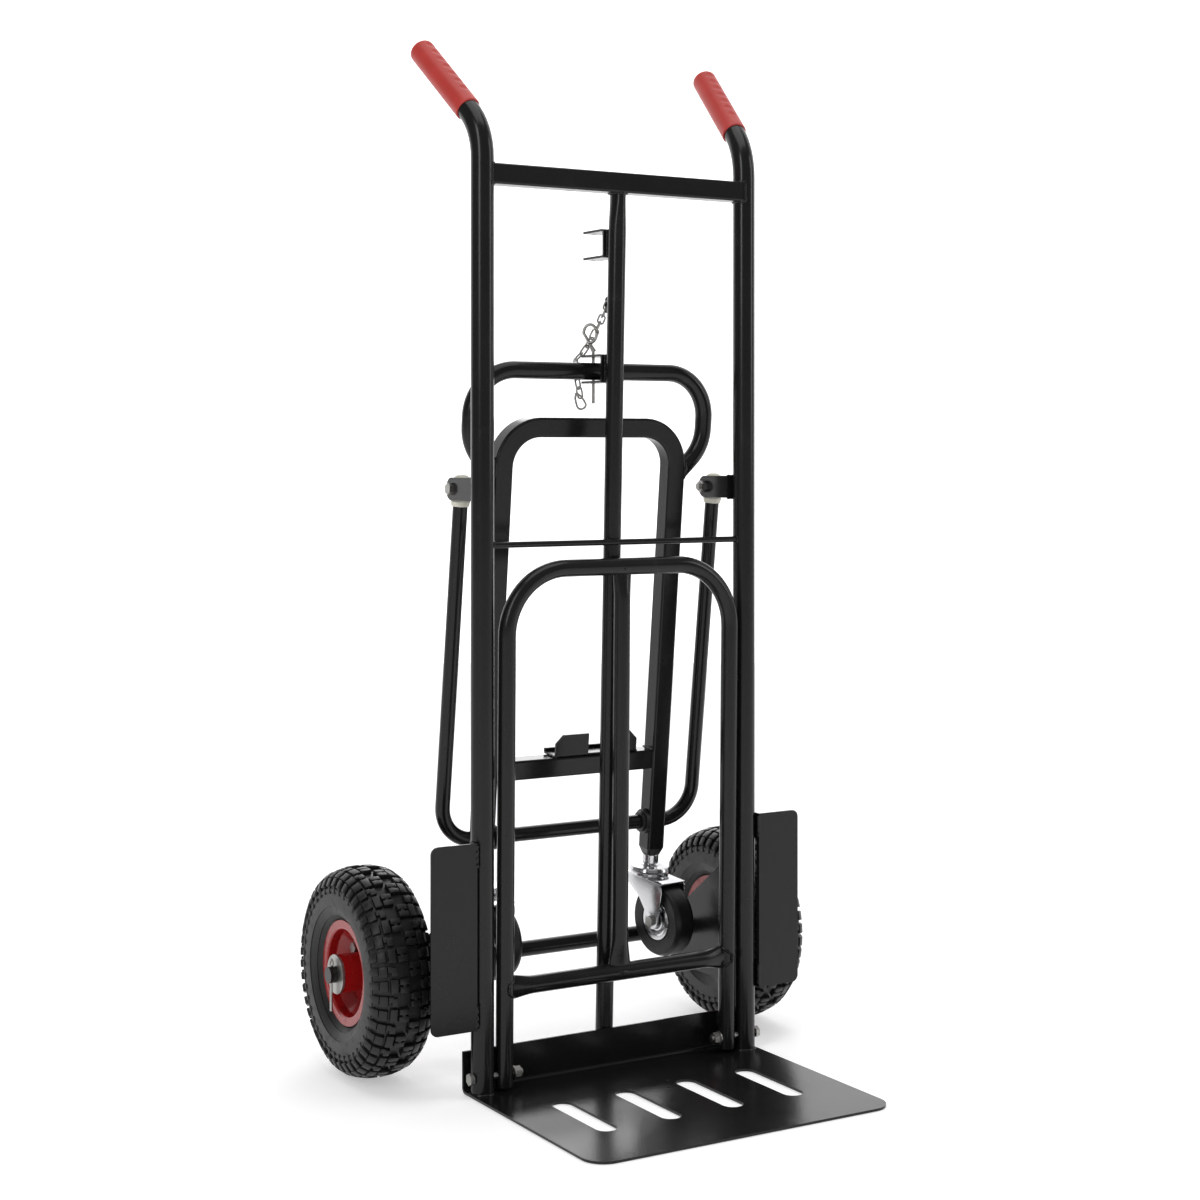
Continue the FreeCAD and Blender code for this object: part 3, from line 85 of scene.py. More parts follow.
camera_data = bpy.data.cameras.new("camera")
camera_data.lens = 64.1
camera_data.sensor_width = 36
camera_data.shift_y = -0.1239
camera = bpy.data.objects.new("camera", camera_data)
camera.location = (-1.3739, -2.2579, 0.7677)
camera.rotation_euler = (math.radians(90), 0, math.radians(-30.84))
bpy.context.collection.objects.link(camera)
bpy.context.scene.camera = camera


# ---------------------------------------------------------------- black powder coat
# The whole steel frame is sprayed with a satin black powder and baked.  The skin has a fine
# orange-peel, slow changes of gloss, and a little handling dust.
class Wire:
    """A socket of a material, on which sums can be written."""

    def __init__(self, finish, socket):
        self.finish = finish
        self.socket = socket

    def maths(self, operation, *others):
        values = dict(enumerate((self, *others)))
        return self.finish.node("ShaderNodeMath", {"operation": operation}, values)

    def __add__(self, other):
        return self.maths("ADD", other)

    def __mul__(self, other):
        return self.maths("MULTIPLY", other)

    def __sub__(self, other):
        return self.maths("SUBTRACT", other)

    def __rsub__(self, other):
        return self * -1 + other

    __radd__ = __add__
    __rmul__ = __mul__

    def between(self, low, high):
        """0 under low, 1 over high, smooth between them."""
        return self.finish.node("ShaderNodeMapRange", {"interpolation_type": "SMOOTHSTEP"},
                                {"Value": self, "From Min": low, "From Max": high})


class Finish:
    """A Principled material whose patterns are written as sums of Wires."""

    def __init__(self, name, **sockets):
        self.material = bpy.data.materials.new(name)
        self.material.use_nodes = True
        self.tree = self.material.node_tree
        self.shader = self.tree.nodes["Principled BSDF"]
        self.place = self.node("ShaderNodeTexCoord", output="Object")
        for socket, value in sockets.items():
            self.set(socket.replace("_", " ").title().replace("Ior", "IOR"), value)

    def node(self, kind, settings=None, values=None, output=0):
        made = self.tree.nodes.new(kind)
        for key, value in (settings or {}).items():
            setattr(made, key, value)
        for key, value in (values or {}).items():
            self.join(made.inputs[key], value)
        return Wire(self, made.outputs[output])

    def join(self, socket, value):
        if isinstance(value, Wire):
            self.tree.links.new(value.socket, socket)
        else:
            socket.default_value = value

    def set(self, socket, value):
        self.join(self.shader.inputs[socket], value)

    def noise(self, scale, detail=2.0, stretch=None):
        """Cloudy noise, 0 to 1, with spots about 1/scale metres wide."""
        place = self.place
        if stretch:
            place = self.node("ShaderNodeMapping", None, {"Vector": place, "Scale": stretch})
        return self.node("ShaderNodeTexNoise", None,
                         {"Vector": place, "Scale": scale, "Detail": detail})

    def blend(self, share, low, high):
        """A colour from low to high."""
        return self.node("ShaderNodeMix", {"data_type": "RGBA"}, {0: share, 6: low, 7: high},
                         output=2)

    def emboss(self, height, depth, strength=1.0):
        """Bumps the surface by height, which runs 0 to 1, over depth metres."""
        bump = self.node("ShaderNodeBump", None,
                         {"Height": height, "Distance": depth, "Strength": strength})
        self.set("Normal", bump)


def grey(value, tint=(1, 1, 1)):
    return (value * tint[0], value * tint[1], value * tint[2], 1)


def powder_coat():
    coat = Finish("black_powder_coat", metallic=0.0, specular_ior_level=0.3)
    slow = coat.noise(7)
    dust = coat.noise(38, 4).between(0.56, 0.8)
    coat.set("Base Color", coat.blend(slow + dust * 0.25, grey(0.0052),
                                      grey(0.0115, (1, 0.98, 0.95))))
    coat.set("Roughness", slow * 0.1 + dust * 0.07 + 0.16)
    coat.emboss(coat.noise(620, 1) * 0.8 + coat.noise(210, 1) * 0.2, 0.0001, 0.32)
    return coat.material


BLACK = powder_coat()


def dress(finish, slot_name, but=()):
    """Gives a finish to every CAD node that the record puts in that slot."""
    for part in frame["record"]["subparts"]:
        if part["material_slot"] == slot_name and part["node"] not in but:
            node = frame["nodes"][part["node"]]
            node.data.materials.clear()
            node.data.materials.append(finish)


dress(BLACK, "black_paint")


def clear():
    """Leaves edit mode and deselects everything."""
    if bpy.context.object and bpy.context.object.mode != "OBJECT":
        bpy.ops.object.mode_set(mode="OBJECT")
    bpy.ops.object.select_all(action="DESELECT")


def pick(piece):
    """Selects one piece alone and makes it the active one."""
    clear()
    piece.select_set(True)
    bpy.context.view_layer.objects.active = piece


def lay(piece, place):
    """Moves a piece to its place and takes that place into its mesh."""
    pick(piece)
    piece.matrix_world = place @ piece.matrix_world
    bpy.ops.object.transform_apply(location=True, rotation=True, scale=True)


def settle(piece, body, finish, place=Matrix(), smooth=35):
    """Lays a finished piece in its place, shades it and lets it ride on a body."""
    lay(piece, place)
    bpy.ops.object.shade_smooth_by_angle(angle=math.radians(smooth))
    piece.data.materials.clear()
    piece.data.materials.append(finish)
    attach(piece, body)
    return piece


def merged(name, pieces):
    """Several mesh objects as one."""
    clear()
    for one in pieces:
        one.select_set(True)
    bpy.context.view_layer.objects.active = pieces[0]
    if len(pieces) > 1:
        bpy.ops.object.join()
    pieces[0].name = name
    return pieces[0]


def rod(name, points, radius, closed=False, swell=None, sides=4):
    """A mesh tube through points; swell gives a thickness factor at each point."""
    line = bpy.data.curves.new(name, "CURVE")
    line.dimensions = "3D"
    line.bevel_depth = radius
    line.bevel_resolution = sides
    line.use_fill_caps = True
    spline = line.splines.new("POLY")
    spline.points.add(len(points) - 1)
    for i, point in enumerate(points):
        spline.points[i].co = (*point, 1)
        spline.points[i].radius = swell[i] if swell else 1
    spline.use_cyclic_u = closed
    piece = bpy.data.objects.new(name, line)
    bpy.context.collection.objects.link(piece)
    pick(piece)
    bpy.ops.object.convert(target="MESH")
    return piece


# ---------------------------------------------------------------- weld beads
# Every joint of the frame is welded and then painted over, so each has a low rippled bead round
# it.  The ripples are the swellings of a thin rod laid along the joint.
ripples = random.Random(7)


def bead(points, radius=0.0019, closed=True):
    swell = [1 + 0.3 * math.sin(i * 1.9) * ripples.random() for i in range(len(points))]
    return rod("bead", points, radius, closed, swell, 2)


def around(count):
    return [2 * math.pi * i / count for i in range(count)]


def tee_bead(centre, side, radius, into, tilt=0.0):
    """Round a tube of a radius that runs along X into a tube of radius into, standing along Z."""
    ring = []
    for turn in around(28):
        y = radius * math.cos(turn)
        x = math.sqrt(max(into ** 2 - y ** 2, 0))
        ring.append(Vector((-side * x, y, radius * math.sin(turn))))
    lean = Matrix.Rotation(tilt, 4, "X")
    return bead([Vector(centre) + lean @ p for p in ring])


def square_bead(centre, side, half, into, tilt=0.0):
    """The same round a square tube; into 0 means a flat wall."""
    steps = 8
    edge = []
    corners = (((-1, -1), (1, 0)), ((1, -1), (0, 1)), ((1, 1), (-1, 0)), ((-1, 1), (0, -1)))
    for corner, way in corners:
        for i in range(steps):
            y = (corner[0] + way[0] * 2 * i / steps) * half
            z = (corner[1] + way[1] * 2 * i / steps) * half
            x = math.sqrt(into ** 2 - y ** 2) if into else 0
            edge.append(Vector((-side * x, y, z)))
    lean = Matrix.Rotation(tilt, 4, "X")
    return bead([Vector(centre) + lean @ p for p in edge])


def flat_bead(centre, radius, axis="Z", tilt=0.0):
    """Round a tube that meets a flat wall square on."""
    ring = []
    for turn in around(24):
        a, b = radius * math.cos(turn), radius * math.sin(turn)
        ring.append(Vector((a, b, 0)) if axis == "Z" else Vector((0, a, b)))
    lean = Matrix.Rotation(tilt, 4, "X")
    return bead([Vector(centre) + lean @ p for p in ring])


def run_bead(start, end, radius=0.0018):
    """A straight run."""
    start, end = Vector(start), Vector(end)
    count = max(4, int((end - start).length / 0.0022))
    return bead([start.lerp(end, i / count) for i in range(count + 1)], radius, False)


SIDES = (("left", -1), ("right", 1))
spine_low, spine_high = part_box("centre_tube")
crossbar_low, crossbar_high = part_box("top_crossbar")
rod_low, rod_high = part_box("cross_rod")
gusset_low, gusset_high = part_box("axle_gusset_right")
guard_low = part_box("wheel_guard_right")[0]
RAIL_RADIUS = 0.014
RAIL_X = (gusset_low.x + gusset_high.x) / 2
PLATE_THICK = 0.003
ROD_BEAD = 0.0042
AXLE_BEAD = 0.0102
SPINE_RADIUS = spine_high.x
AXLE_Y = (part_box("axle")[0].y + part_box("axle")[1].y) / 2
AXLE_Z = (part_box("axle")[0].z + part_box("axle")[1].z) / 2

beads = []
crossbar_z = (crossbar_low.z + crossbar_high.z) / 2
crossbar_half = (crossbar_high.z - crossbar_low.z) / 2
rod_y = (rod_low.y + rod_high.y) / 2
rod_z = (rod_low.z + rod_high.z) / 2
for name, side in SIDES:
    x = side * RAIL_X
    beads.append(square_bead((x, 0, crossbar_z), side, crossbar_half, RAIL_RADIUS))
    beads.append(tee_bead((x, rod_y, rod_z), side, ROD_BEAD, 0.0135))
    beads.append(flat_bead((x, 0, PLATE_THICK), RAIL_RADIUS))
    web = gusset_high.x - gusset_low.x
    for face in (-1, 1):
        wx = x + face * web / 2
        beads.append(run_bead((wx, gusset_low.y + 0.001, gusset_low.z + 0.004),
                              (wx, gusset_low.y + 0.001, gusset_high.z - 0.006)))
        beads.append(flat_bead((wx, AXLE_Y, AXLE_Z), AXLE_BEAD, "X"))
    edge = side * guard_low.x
    for low, high in ((0.004, 0.03), (0.193, 0.219)):
        beads.append(run_bead((edge, guard_low.y + 0.0012, guard_low.z + low),
                              (edge, guard_low.y + 0.0012, guard_low.z + high), 0.0024))
beads.append(flat_bead((0, spine_low.y + SPINE_RADIUS, crossbar_low.z), SPINE_RADIUS))
foot_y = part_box("toe_plate")[1].y
for side in (-1, 1):
    beads.append(run_bead((side * 0.0045, foot_y + 0.0006, 0.026), (side * 0.0045, foot_y, 0.049)))
for clip in ("upper_clip", "lower_clip", "chain_tab"):
    low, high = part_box(clip)
    for side in (-1, 1):
        x = side * min(high.x, 0.008)
        beads.append(run_bead((x, low.y - 0.0012, low.z + 0.002),
                              (x, low.y - 0.0012, high.z - 0.002)))
for name, side in SIDES:
    low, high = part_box(f"stay_bracket_{name}")
    for z in (low.z, high.z):
        beads.append(run_bead((low.x + 0.002, 0.0135, z), (high.x - 0.002, 0.0135, z)))
settle(merged("frame_welds", beads), "frame", BLACK, smooth=60)


# ---------------------------------------------------------------- squeezed tubes
# The centre tube and the two inner tubes of the extension are squeezed at their ends before
# welding, so each is drawn out of a round ring into an oval one over a short length.
def squeezed_tube(name, rings, sides=40):
    """A tube along Z through rings (z, half width in X, half width in Y)."""
    clear()
    z, wide, deep = rings[0]
    bpy.ops.mesh.primitive_circle_add(vertices=sides, radius=1, location=(0, 0, 0))
    piece = bpy.context.object
    piece.name = name
    bpy.ops.object.mode_set(mode="EDIT")
    bpy.ops.mesh.select_all(action="SELECT")
    bpy.ops.transform.resize(value=(wide, deep, 1), center_override=(0, 0, 0))
    bpy.ops.transform.translate(value=(0, 0, z))
    for next_z, next_wide, next_deep in rings[1:]:
        step = {"value": (0, 0, next_z - z)}
        bpy.ops.mesh.extrude_region_move(TRANSFORM_OT_translate=step)
        bpy.ops.transform.resize(value=(next_wide / wide, next_deep / deep, 1),
                                 center_override=(0, 0, next_z))
        z, wide, deep = next_z, next_wide, next_deep
    bpy.ops.mesh.select_all(action="SELECT")
    bpy.ops.mesh.normals_make_consistent(inside=False)
    bpy.ops.object.mode_set(mode="OBJECT")
    wall = piece.modifiers.new("wall", "SOLIDIFY")
    wall.thickness = 0.0013
    wall.offset = -1
    bpy.ops.object.modifier_apply(modifier=wall.name)
    return piece


def ease(low, high, share):
    share = share * share * (3 - 2 * share)
    return low + (high - low) * share


def end_rings(start, end, squeeze, length, round_radius, steps=9):
    """Rings from a squeezed end at start, over length, to the round tube's end."""
    way = 1 if end > start else -1
    return [(start + way * length * i / steps, ease(squeeze[0], round_radius, i / steps),
             ease(squeeze[1], round_radius, i / steps)) for i in range(steps + 1)]


extension_lean = math.radians(0.8)
hoop_low, hoop_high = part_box("extension_hoop")
cross_low, cross_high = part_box("extension_cross_tube")
middle_low, middle_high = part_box("extension_centre_tube")
HOOP_RADIUS = 0.01075
half_cross = cross_high.x
cross_y = (cross_low.y + cross_high.y) / 2
cross_z = (cross_low.z + cross_high.z) / 2
cross_rings = end_rings(-half_cross - 0.0006, 0, (0.0148, 0.0064), 0.034, HOOP_RADIUS)
cross_rings += [(-z, wide, deep) for z, wide, deep in reversed(cross_rings)]
lay_down = Matrix.Translation((0, cross_y, cross_z)) @ Matrix.Rotation(extension_lean, 4, "X")
lay_down = lay_down @ Matrix.Rotation(math.radians(90), 4, "Y")
cross_tube = squeezed_tube("extension_cross_tube_drawn", cross_rings)
settle(cross_tube, "extension", BLACK, lay_down)
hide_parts("extension_cross_tube")

middle_length = (middle_high.z - middle_low.z) / math.cos(extension_lean)
lower_end = end_rings(0, 1, (0.0155, 0.0062), 0.045, 0.0104)
upper_end = end_rings(middle_length, 0, (0.0125, 0.0066), 0.04, 0.0104)
stand_up = Matrix.Translation((0, cross_y, middle_low.z)) @ Matrix.Rotation(extension_lean, 4, "X")
middle_tube = squeezed_tube("extension_centre_tube_drawn", lower_end + upper_end[::-1])
settle(middle_tube, "extension", BLACK, stand_up)
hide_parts("extension_centre_tube")

spine_height = spine_high.z - spine_low.z
spine_top_y = spine_low.y + SPINE_RADIUS
spine_foot_y = spine_high.y - SPINE_RADIUS
spine_lean = math.atan((spine_foot_y - spine_top_y) / spine_height)
spine_length = spine_height / math.cos(spine_lean)
crimped = end_rings(0, -1, (0.0088, 0.0125), 0.05, SPINE_RADIUS)
crimped += [(-spine_length, SPINE_RADIUS, SPINE_RADIUS)]
hang = Matrix.Translation((0, spine_top_y, spine_high.z - 0.0006))
hang = hang @ Matrix.Rotation(spine_lean, 4, "X")
spine = squeezed_tube("centre_tube_drawn", crimped)
settle(spine, "frame", BLACK, hang)
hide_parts("centre_tube")


# ---------------------------------------------------------------- extension: weld beads
# The extension's cross tube is welded into the hoop, and its centre tube to both, before the
# whole is painted.
hoop_x = hoop_high.x - HOOP_RADIUS
beads = [tee_bead((side * hoop_x, cross_y, cross_z), side, 0.0125, HOOP_RADIUS, extension_lean)
         for side in (-1, 1)]
beads.append(flat_bead((0, cross_y, middle_low.z - 0.001), 0.0105))
beads.append(flat_bead((0, hoop_low.y + HOOP_RADIUS + 0.0003, middle_high.z), 0.0098))
settle(merged("extension_welds", beads), "extension", BLACK, smooth=60)


# ---------------------------------------------------------------- castor frame: weld beads
# The square cross-member is welded between the legs of the arch, the round loop handle to
# their outer walls, and the saddle bracket on top of the cross-member.
frame_lean = math.radians(5.88)
BAR_HALF = 0.0125
arch_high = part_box("castor_arch")[1]
member_low, member_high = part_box("castor_cross_member")
member_y = (member_low.y + member_high.y) / 2
member_z = (member_low.z + member_high.z) / 2
loop_low, loop_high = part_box("loop_handle")
beads = []
for side in (-1, 1):
    beads.append(square_bead((side * member_high.x, member_y, member_z), side, BAR_HALF, 0,
                             frame_lean))
    slant = Matrix.Translation((side * arch_high.x, loop_high.y - BAR_HALF, loop_low.z + 0.0175))
    slant = slant @ Matrix.Rotation(frame_lean, 4, "X")
    ring = [slant @ Vector((0, 0.011 * math.cos(t), 0.0148 * math.sin(t))) for t in around(28)]
    beads.append(bead(ring, 0.0021))
saddle_low, saddle_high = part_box("saddle_bracket")
for x in (saddle_low.x, saddle_high.x):
    beads.append(run_bead((x, saddle_low.y + 0.003, saddle_low.z + 0.001),
                          (x, saddle_low.y + 0.024, saddle_low.z + 0.003)))
settle(merged("castor_frame_welds", beads), "castor_frame", BLACK, smooth=60)


# ---------------------------------------------------------------- grips
# Two soft PVC sleeves pushed over the handles, bright red, with finger scallops underneath.
# The moulding leaves a slightly cloudy skin with a fine grain.
def red_pvc():
    skin = Finish("red_pvc", metallic=0.0, specular_ior_level=0.4)
    cloud = skin.noise(45, 3)
    skin.set("Base Color", skin.blend(cloud, (0.40, 0.030, 0.024, 1), (0.52, 0.046, 0.036, 1)))
    skin.set("Roughness", cloud * 0.16 + skin.noise(400) * 0.08 + 0.3)
    skin.emboss(skin.noise(900, 1) * 0.6 + skin.noise(150, 2) * 0.5, 0.0002, 0.5)
    return skin.material


dress(red_pvc(), "red_plastic")


# ---------------------------------------------------------------- wheels: rims
# Each rim is two steel pressings bolted together and enamelled red, gloss, with faint brush
# dirt in the corners; a steel hub runs through them.
def red_enamel():
    enamel = Finish("red_enamel", metallic=0.0, coat_roughness=0.12, specular_ior_level=0.35)
    slow = enamel.noise(22)
    grime = enamel.noise(90, 5).between(0.58, 0.78)
    enamel.set("Base Color", enamel.blend(slow * 0.6 + grime * 0.5, (0.36, 0.007, 0.008, 1),
                                          (0.22, 0.006, 0.006, 1)))
    enamel.set("Roughness", slow * 0.1 + grime * 0.25 + 0.2)
    enamel.set("Coat Weight", 0.32 - grime * 0.25)
    enamel.emboss(enamel.noise(260, 1), 0.0001, 0.35)
    return enamel.material


dress(red_enamel(), "red_paint")


# ---------------------------------------------------------------- wheels: tyres
# Black pneumatic tyres with a block tread: a carcass with ribbed walls, H blocks along the
# crown, angled blocks beside them and lugs over the shoulders.
def tyre_rubber(name, base=0.0065):
    rubber = Finish(name, metallic=0.0, specular_ior_level=0.36)
    slow = rubber.noise(30, 3)
    bloom = rubber.noise(120, 5).between(0.5, 0.75)
    rubber.set("Base Color", rubber.blend(slow * 0.6 + bloom * 0.4, grey(base),
                                          grey(base * 2.3, (1, 1, 1.02))))
    rubber.set("Roughness", slow * 0.16 + bloom * 0.14 + 0.34)
    rubber.emboss(rubber.noise(500, 2) * 0.7 + rubber.noise(90, 2) * 0.5, 0.0003, 0.5)
    return rubber.material


TYRE = tyre_rubber("tyre_rubber")


def traced(name, points):
    """A chain of edges through points, all selected in edit mode."""
    clear()
    bpy.ops.mesh.primitive_plane_add(size=0.001)
    piece = bpy.context.object
    piece.name = name
    bpy.ops.object.mode_set(mode="EDIT")
    bpy.ops.mesh.select_all(action="SELECT")
    bpy.ops.mesh.merge(type="CENTER")
    bpy.ops.mesh.select_all(action="SELECT")
    here = Vector(points[0])
    bpy.ops.transform.translate(value=here)
    for point in points[1:]:
        there = Vector(point)
        bpy.ops.mesh.extrude_region_move(TRANSFORM_OT_translate={"value": there - here})
        here = there
    bpy.ops.mesh.select_all(action="SELECT")
    return piece


def spun(name, outline, steps):
    """A closed outline of points (x, radius), turned about the X axis."""
    piece = traced(name, [(x, 0, radius) for x, radius in outline + outline[:1]])
    bpy.ops.mesh.spin(steps=steps, angle=2 * math.pi, center=(0, 0, 0), axis=(1, 0, 0))
    bpy.ops.mesh.select_all(action="SELECT")
    bpy.ops.mesh.remove_doubles(threshold=0.00002)
    bpy.ops.mesh.normals_make_consistent(inside=False)
    bpy.ops.object.mode_set(mode="OBJECT")
    return piece


def soften(piece, width, segments=2, angle=25):
    """Rounds a piece's edges with an applied bevel."""
    pick(piece)
    rounding = piece.modifiers.new("rounding", "BEVEL")
    rounding.width = width
    rounding.segments = segments
    rounding.limit_method = "ANGLE"
    rounding.angle_limit = math.radians(angle)
    bpy.ops.object.modifier_apply(modifier=rounding.name)


tyre_low, tyre_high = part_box("tyre_right")
TYRE_RADIUS = (tyre_high.z - tyre_low.z) / 2
WHEEL_X = (tyre_high.x + tyre_low.x) / 2
TREAD_DEEP = 0.0056
BEAD_RADIUS = 0.0552


def tyre_carcass():
    crown = TYRE_RADIUS - TREAD_DEEP
    half = [(0.0175, BEAD_RADIUS), (0.0255, BEAD_RADIUS), (0.0268, 0.058), (0.0268, 0.0645),
            (0.0300, 0.0668), (0.0335, 0.0705), (0.0345, 0.0705), (0.0368, 0.0745),
            (0.0390, 0.0812), (0.0398, 0.0812), (0.0402, 0.0905), (0.0394, 0.0990),
            (0.0400, 0.0995), (0.0396, 0.1030), (0.0386, 0.1032), (0.0362, 0.1110),
            (0.0310, 0.1170), (0.0230, 0.1206), (0.0120, crown)]
    inner = [(-0.010, crown - 0.008), (-0.026, 0.1125), (-0.033, 0.100), (-0.033, 0.083),
             (-0.0175, 0.0635)]
    outline = half + [(-x, r) for x, r in reversed(half)]
    outline += [(x, r) for x, r in reversed(inner)] + [(-x, r) for x, r in inner]
    return spun("carcass", outline, 120)


def tread_blocks(pitches=22):
    """One pitch of the tread is built of bevelled blocks, then copied round."""
    clear()
    pitch = 2 * math.pi / pitches
    blocks = []
    # (x, share of a pitch, radius of the block's middle, width, length round, height, tilt)
    top = TYRE_RADIUS - 0.0038
    for way in (-1, 1):
        blocks.append((way * 0.0070, way * 0.25 - 0.13, top, 0.0130, 0.0072, 0.0074, 3))
        blocks.append((way * 0.0070, way * 0.25 + 0.13, top, 0.0130, 0.0072, 0.0074, 3))
        blocks.append((way * 0.0070, way * 0.25, top - 0.0004, 0.0050, 0.0060, 0.0070, 3))
        blocks.append((way * 0.0192, way * 0.25, top - 0.0021, 0.0092, 0.0165, 0.0074, 14))
        blocks.append((way * 0.0186, way * 0.25 + 0.47, top - 0.0019, 0.0076, 0.0098, 0.0070, 14))
        blocks.append((way * 0.0228, way * 0.25 + 0.56, top - 0.0030, 0.0060, 0.0070, 0.0066, 20))
        for share in (-0.25, 0.25):
            blocks.append((way * 0.0302, share, top - 0.0064, 0.0104, 0.0122, 0.0070, 36))
            blocks.append((way * 0.0366, share + 0.03, top - 0.0142, 0.0108, 0.0094, 0.0064, 62))
            blocks.append((way * 0.0386, share + 0.01, top - 0.0234, 0.0080, 0.0058, 0.0040, 80))
    bpy.ops.mesh.primitive_cube_add(size=1, location=(0, 0, 0), scale=(0.001, 0.001, 0.001))
    piece = bpy.context.object
    bpy.ops.object.mode_set(mode="EDIT")
    bpy.ops.mesh.select_all(action="SELECT")
    bpy.ops.mesh.delete(type="VERT")
    for x, share, radius, width, length, height, tilt in blocks:
        angle = share * pitch
        lean = math.radians(tilt) * (1 if x > 0 else -1)
        turn = (Matrix.Rotation(-angle, 4, "X") @ Matrix.Rotation(lean, 4, "Y")).to_euler()
        place = (x, radius * math.sin(angle), radius * math.cos(angle))
        bpy.ops.mesh.primitive_cube_add(size=1, location=place, rotation=turn,
                                        scale=(width, length, height))
    bpy.ops.mesh.select_all(action="SELECT")
    bpy.ops.mesh.bevel(offset=0.0009, segments=2, affect="EDGES")
    for _ in range(pitches - 1):
        bpy.ops.mesh.duplicate()
        bpy.ops.transform.rotate(value=pitch, orient_axis="X", center_override=(0, 0, 0))
    bpy.ops.object.mode_set(mode="OBJECT")
    return piece


for name, side in SIDES:
    tyre = merged(f"tyre_treaded_{name}", [tyre_carcass(), tread_blocks()])
    place = Matrix.Translation((side * WHEEL_X, AXLE_Y, AXLE_Z))
    settle(tyre, f"wheel_{name}", TYRE, place, smooth=40)
    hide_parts(f"tyre_{name}")

dress(tyre_rubber("tube_rubber", 0.009), "tube_rubber")
dress(tyre_rubber("castor_rubber", 0.0055), "castor_rubber")


# ---------------------------------------------------------------- zinc fasteners
# Bolts, nuts, washers, pins and the chain are zinc plated: bright, with the faint yellow and
# blue bloom and the tumbled scratches of plated stock.
def plated(name, low, high, rough, spread, grain):
    plate = Finish(name, metallic=1.0)
    cloud = plate.noise(130, 4)
    scratch = plate.noise(70, 6, (1, 1, 14)).between(0.45, 0.7)
    plate.set("Base Color", plate.blend(cloud, low, high))
    plate.set("Roughness", cloud * spread + scratch * spread * 0.7 + rough)
    plate.emboss(plate.noise(grain, 2), 0.00006, 0.5)
    return plate.material


ZINC = plated("zinc_plate", (0.30, 0.295, 0.27, 1), (0.46, 0.455, 0.45, 1), 0.26, 0.2, 700)
CHROME = plated("chrome_plate", (0.56, 0.565, 0.58, 1), (0.63, 0.63, 0.64, 1), 0.16, 0.06, 300)
dress(ZINC, "zinc")
dress(CHROME, "chrome")
dress(plated("bearing_steel", (0.4, 0.4, 0.4, 1), (0.55, 0.55, 0.54, 1), 0.3, 0.15, 500),
      "bearing_steel")


# ---------------------------------------------------------------- castor forks
# Each castor has a chromed fork pressed from one sheet: a crown with a round ball-race cap on
# it and two tapering cheeks that carry the wheel's bolt.
def outlined(name, corners, thick, x):
    """A sheet of a thickness, centred on x, whose outline runs through corners (y, z)."""
    piece = traced(name, [(x - thick / 2, y, z) for y, z in corners])
    bpy.ops.mesh.edge_face_add()
    bpy.ops.mesh.extrude_region_move(TRANSFORM_OT_translate={"value": (thick, 0, 0)})
    bpy.ops.mesh.select_all(action="SELECT")
    bpy.ops.mesh.normals_make_consistent(inside=False)
    bpy.ops.object.mode_set(mode="OBJECT")
    return piece


def turned(name, outline, steps=48):
    """A solid of revolution about Z through (radius, z) points that start and end on the axis."""
    piece = spun(name, [(z, max(radius, 0.00001)) for radius, z in outline], steps)
    lay(piece, Matrix.Rotation(math.radians(-90), 4, "Y"))
    return piece


hinges = {joint["name"]: joint for joint in frame["record"]["behaviour"]["joints"]}
CROWN = 0.0515
CHEEK_THICK = 0.0025
CHEEK_X = 0.01925
cheek = [(0.0, -0.0112), (0.0076, -0.0082), (0.0112, -0.0010), (0.0128, 0.0060), (0.0300, 0.0250),
         (0.0550, 0.0390), (0.0590, 0.0440), (0.0590, CROWN), (-0.0080, CROWN), (-0.0150, 0.0470),
         (-0.0162, 0.0400), (-0.0116, 0.0020), (-0.0104, -0.0050), (-0.0064, -0.0095)]
for name, side in SIDES:
    swivel = hinges[f"castor_swivel_{name}"]
    spin = hinges[f"castor_wheel_spin_{name}"]
    up = Vector(swivel["axis"])
    across = Vector(spin["axis"])
    back = up.cross(across)
    place = Matrix.Translation(spin["pos_m"]) @ Matrix((across, back, up)).transposed().to_4x4()
    stem_y = (Vector(swivel["pos_m"]) - Vector(spin["pos_m"])).dot(back)
    sheets = [outlined("cheek", cheek, CHEEK_THICK, face * CHEEK_X) for face in (-1, 1)]
    clear()
    bpy.ops.mesh.primitive_cube_add(size=1, location=(0, 0.0218, CROWN - 0.0006),
                                    scale=(0.041, 0.0744, 0.0026))
    crown = bpy.context.object
    bpy.ops.object.transform_apply(location=True, rotation=True, scale=True)
    soften(crown, 0.0012, 2)
    for sheet in sheets:
        soften(sheet, 0.0008, 2)
    race = turned("race", [(0, 0.0), (0.0235, 0.0), (0.0252, 0.0016), (0.0252, 0.0046),
                           (0.0236, 0.0062), (0.0212, 0.0070), (0.0204, 0.0098),
                           (0.0182, 0.0128), (0.0130, 0.0150), (0.0100, 0.0160), (0, 0.0162)])
    lay(race, Matrix.Translation((0, stem_y, CROWN)))
    fork = merged(f"castor_fork_pressed_{name}", sheets + [crown, race])
    settle(fork, f"castor_fork_{name}", CHROME, place)
    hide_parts(f"castor_fork_{name}")


# ---------------------------------------------------------------- lock pin and chain
# A bent wire pin drops through the clip behind the loop handle; a short zinc chain hangs from a
# tab on the centre tube, passes the pin's eye and ends in a three-cornered snap link.
pin_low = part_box("lock_pin")[0]
tab_low, tab_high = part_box("chain_tab")
clip_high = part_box("lower_clip")[1]
PIN_WIRE = 0.0020
PIN_Y = 0.0595
pin_foot = Vector((0, PIN_Y, pin_low.z))
ACROSS = Vector((0.859, -0.513, 0))
AWAY = Vector((0.513, 0.859, 0))


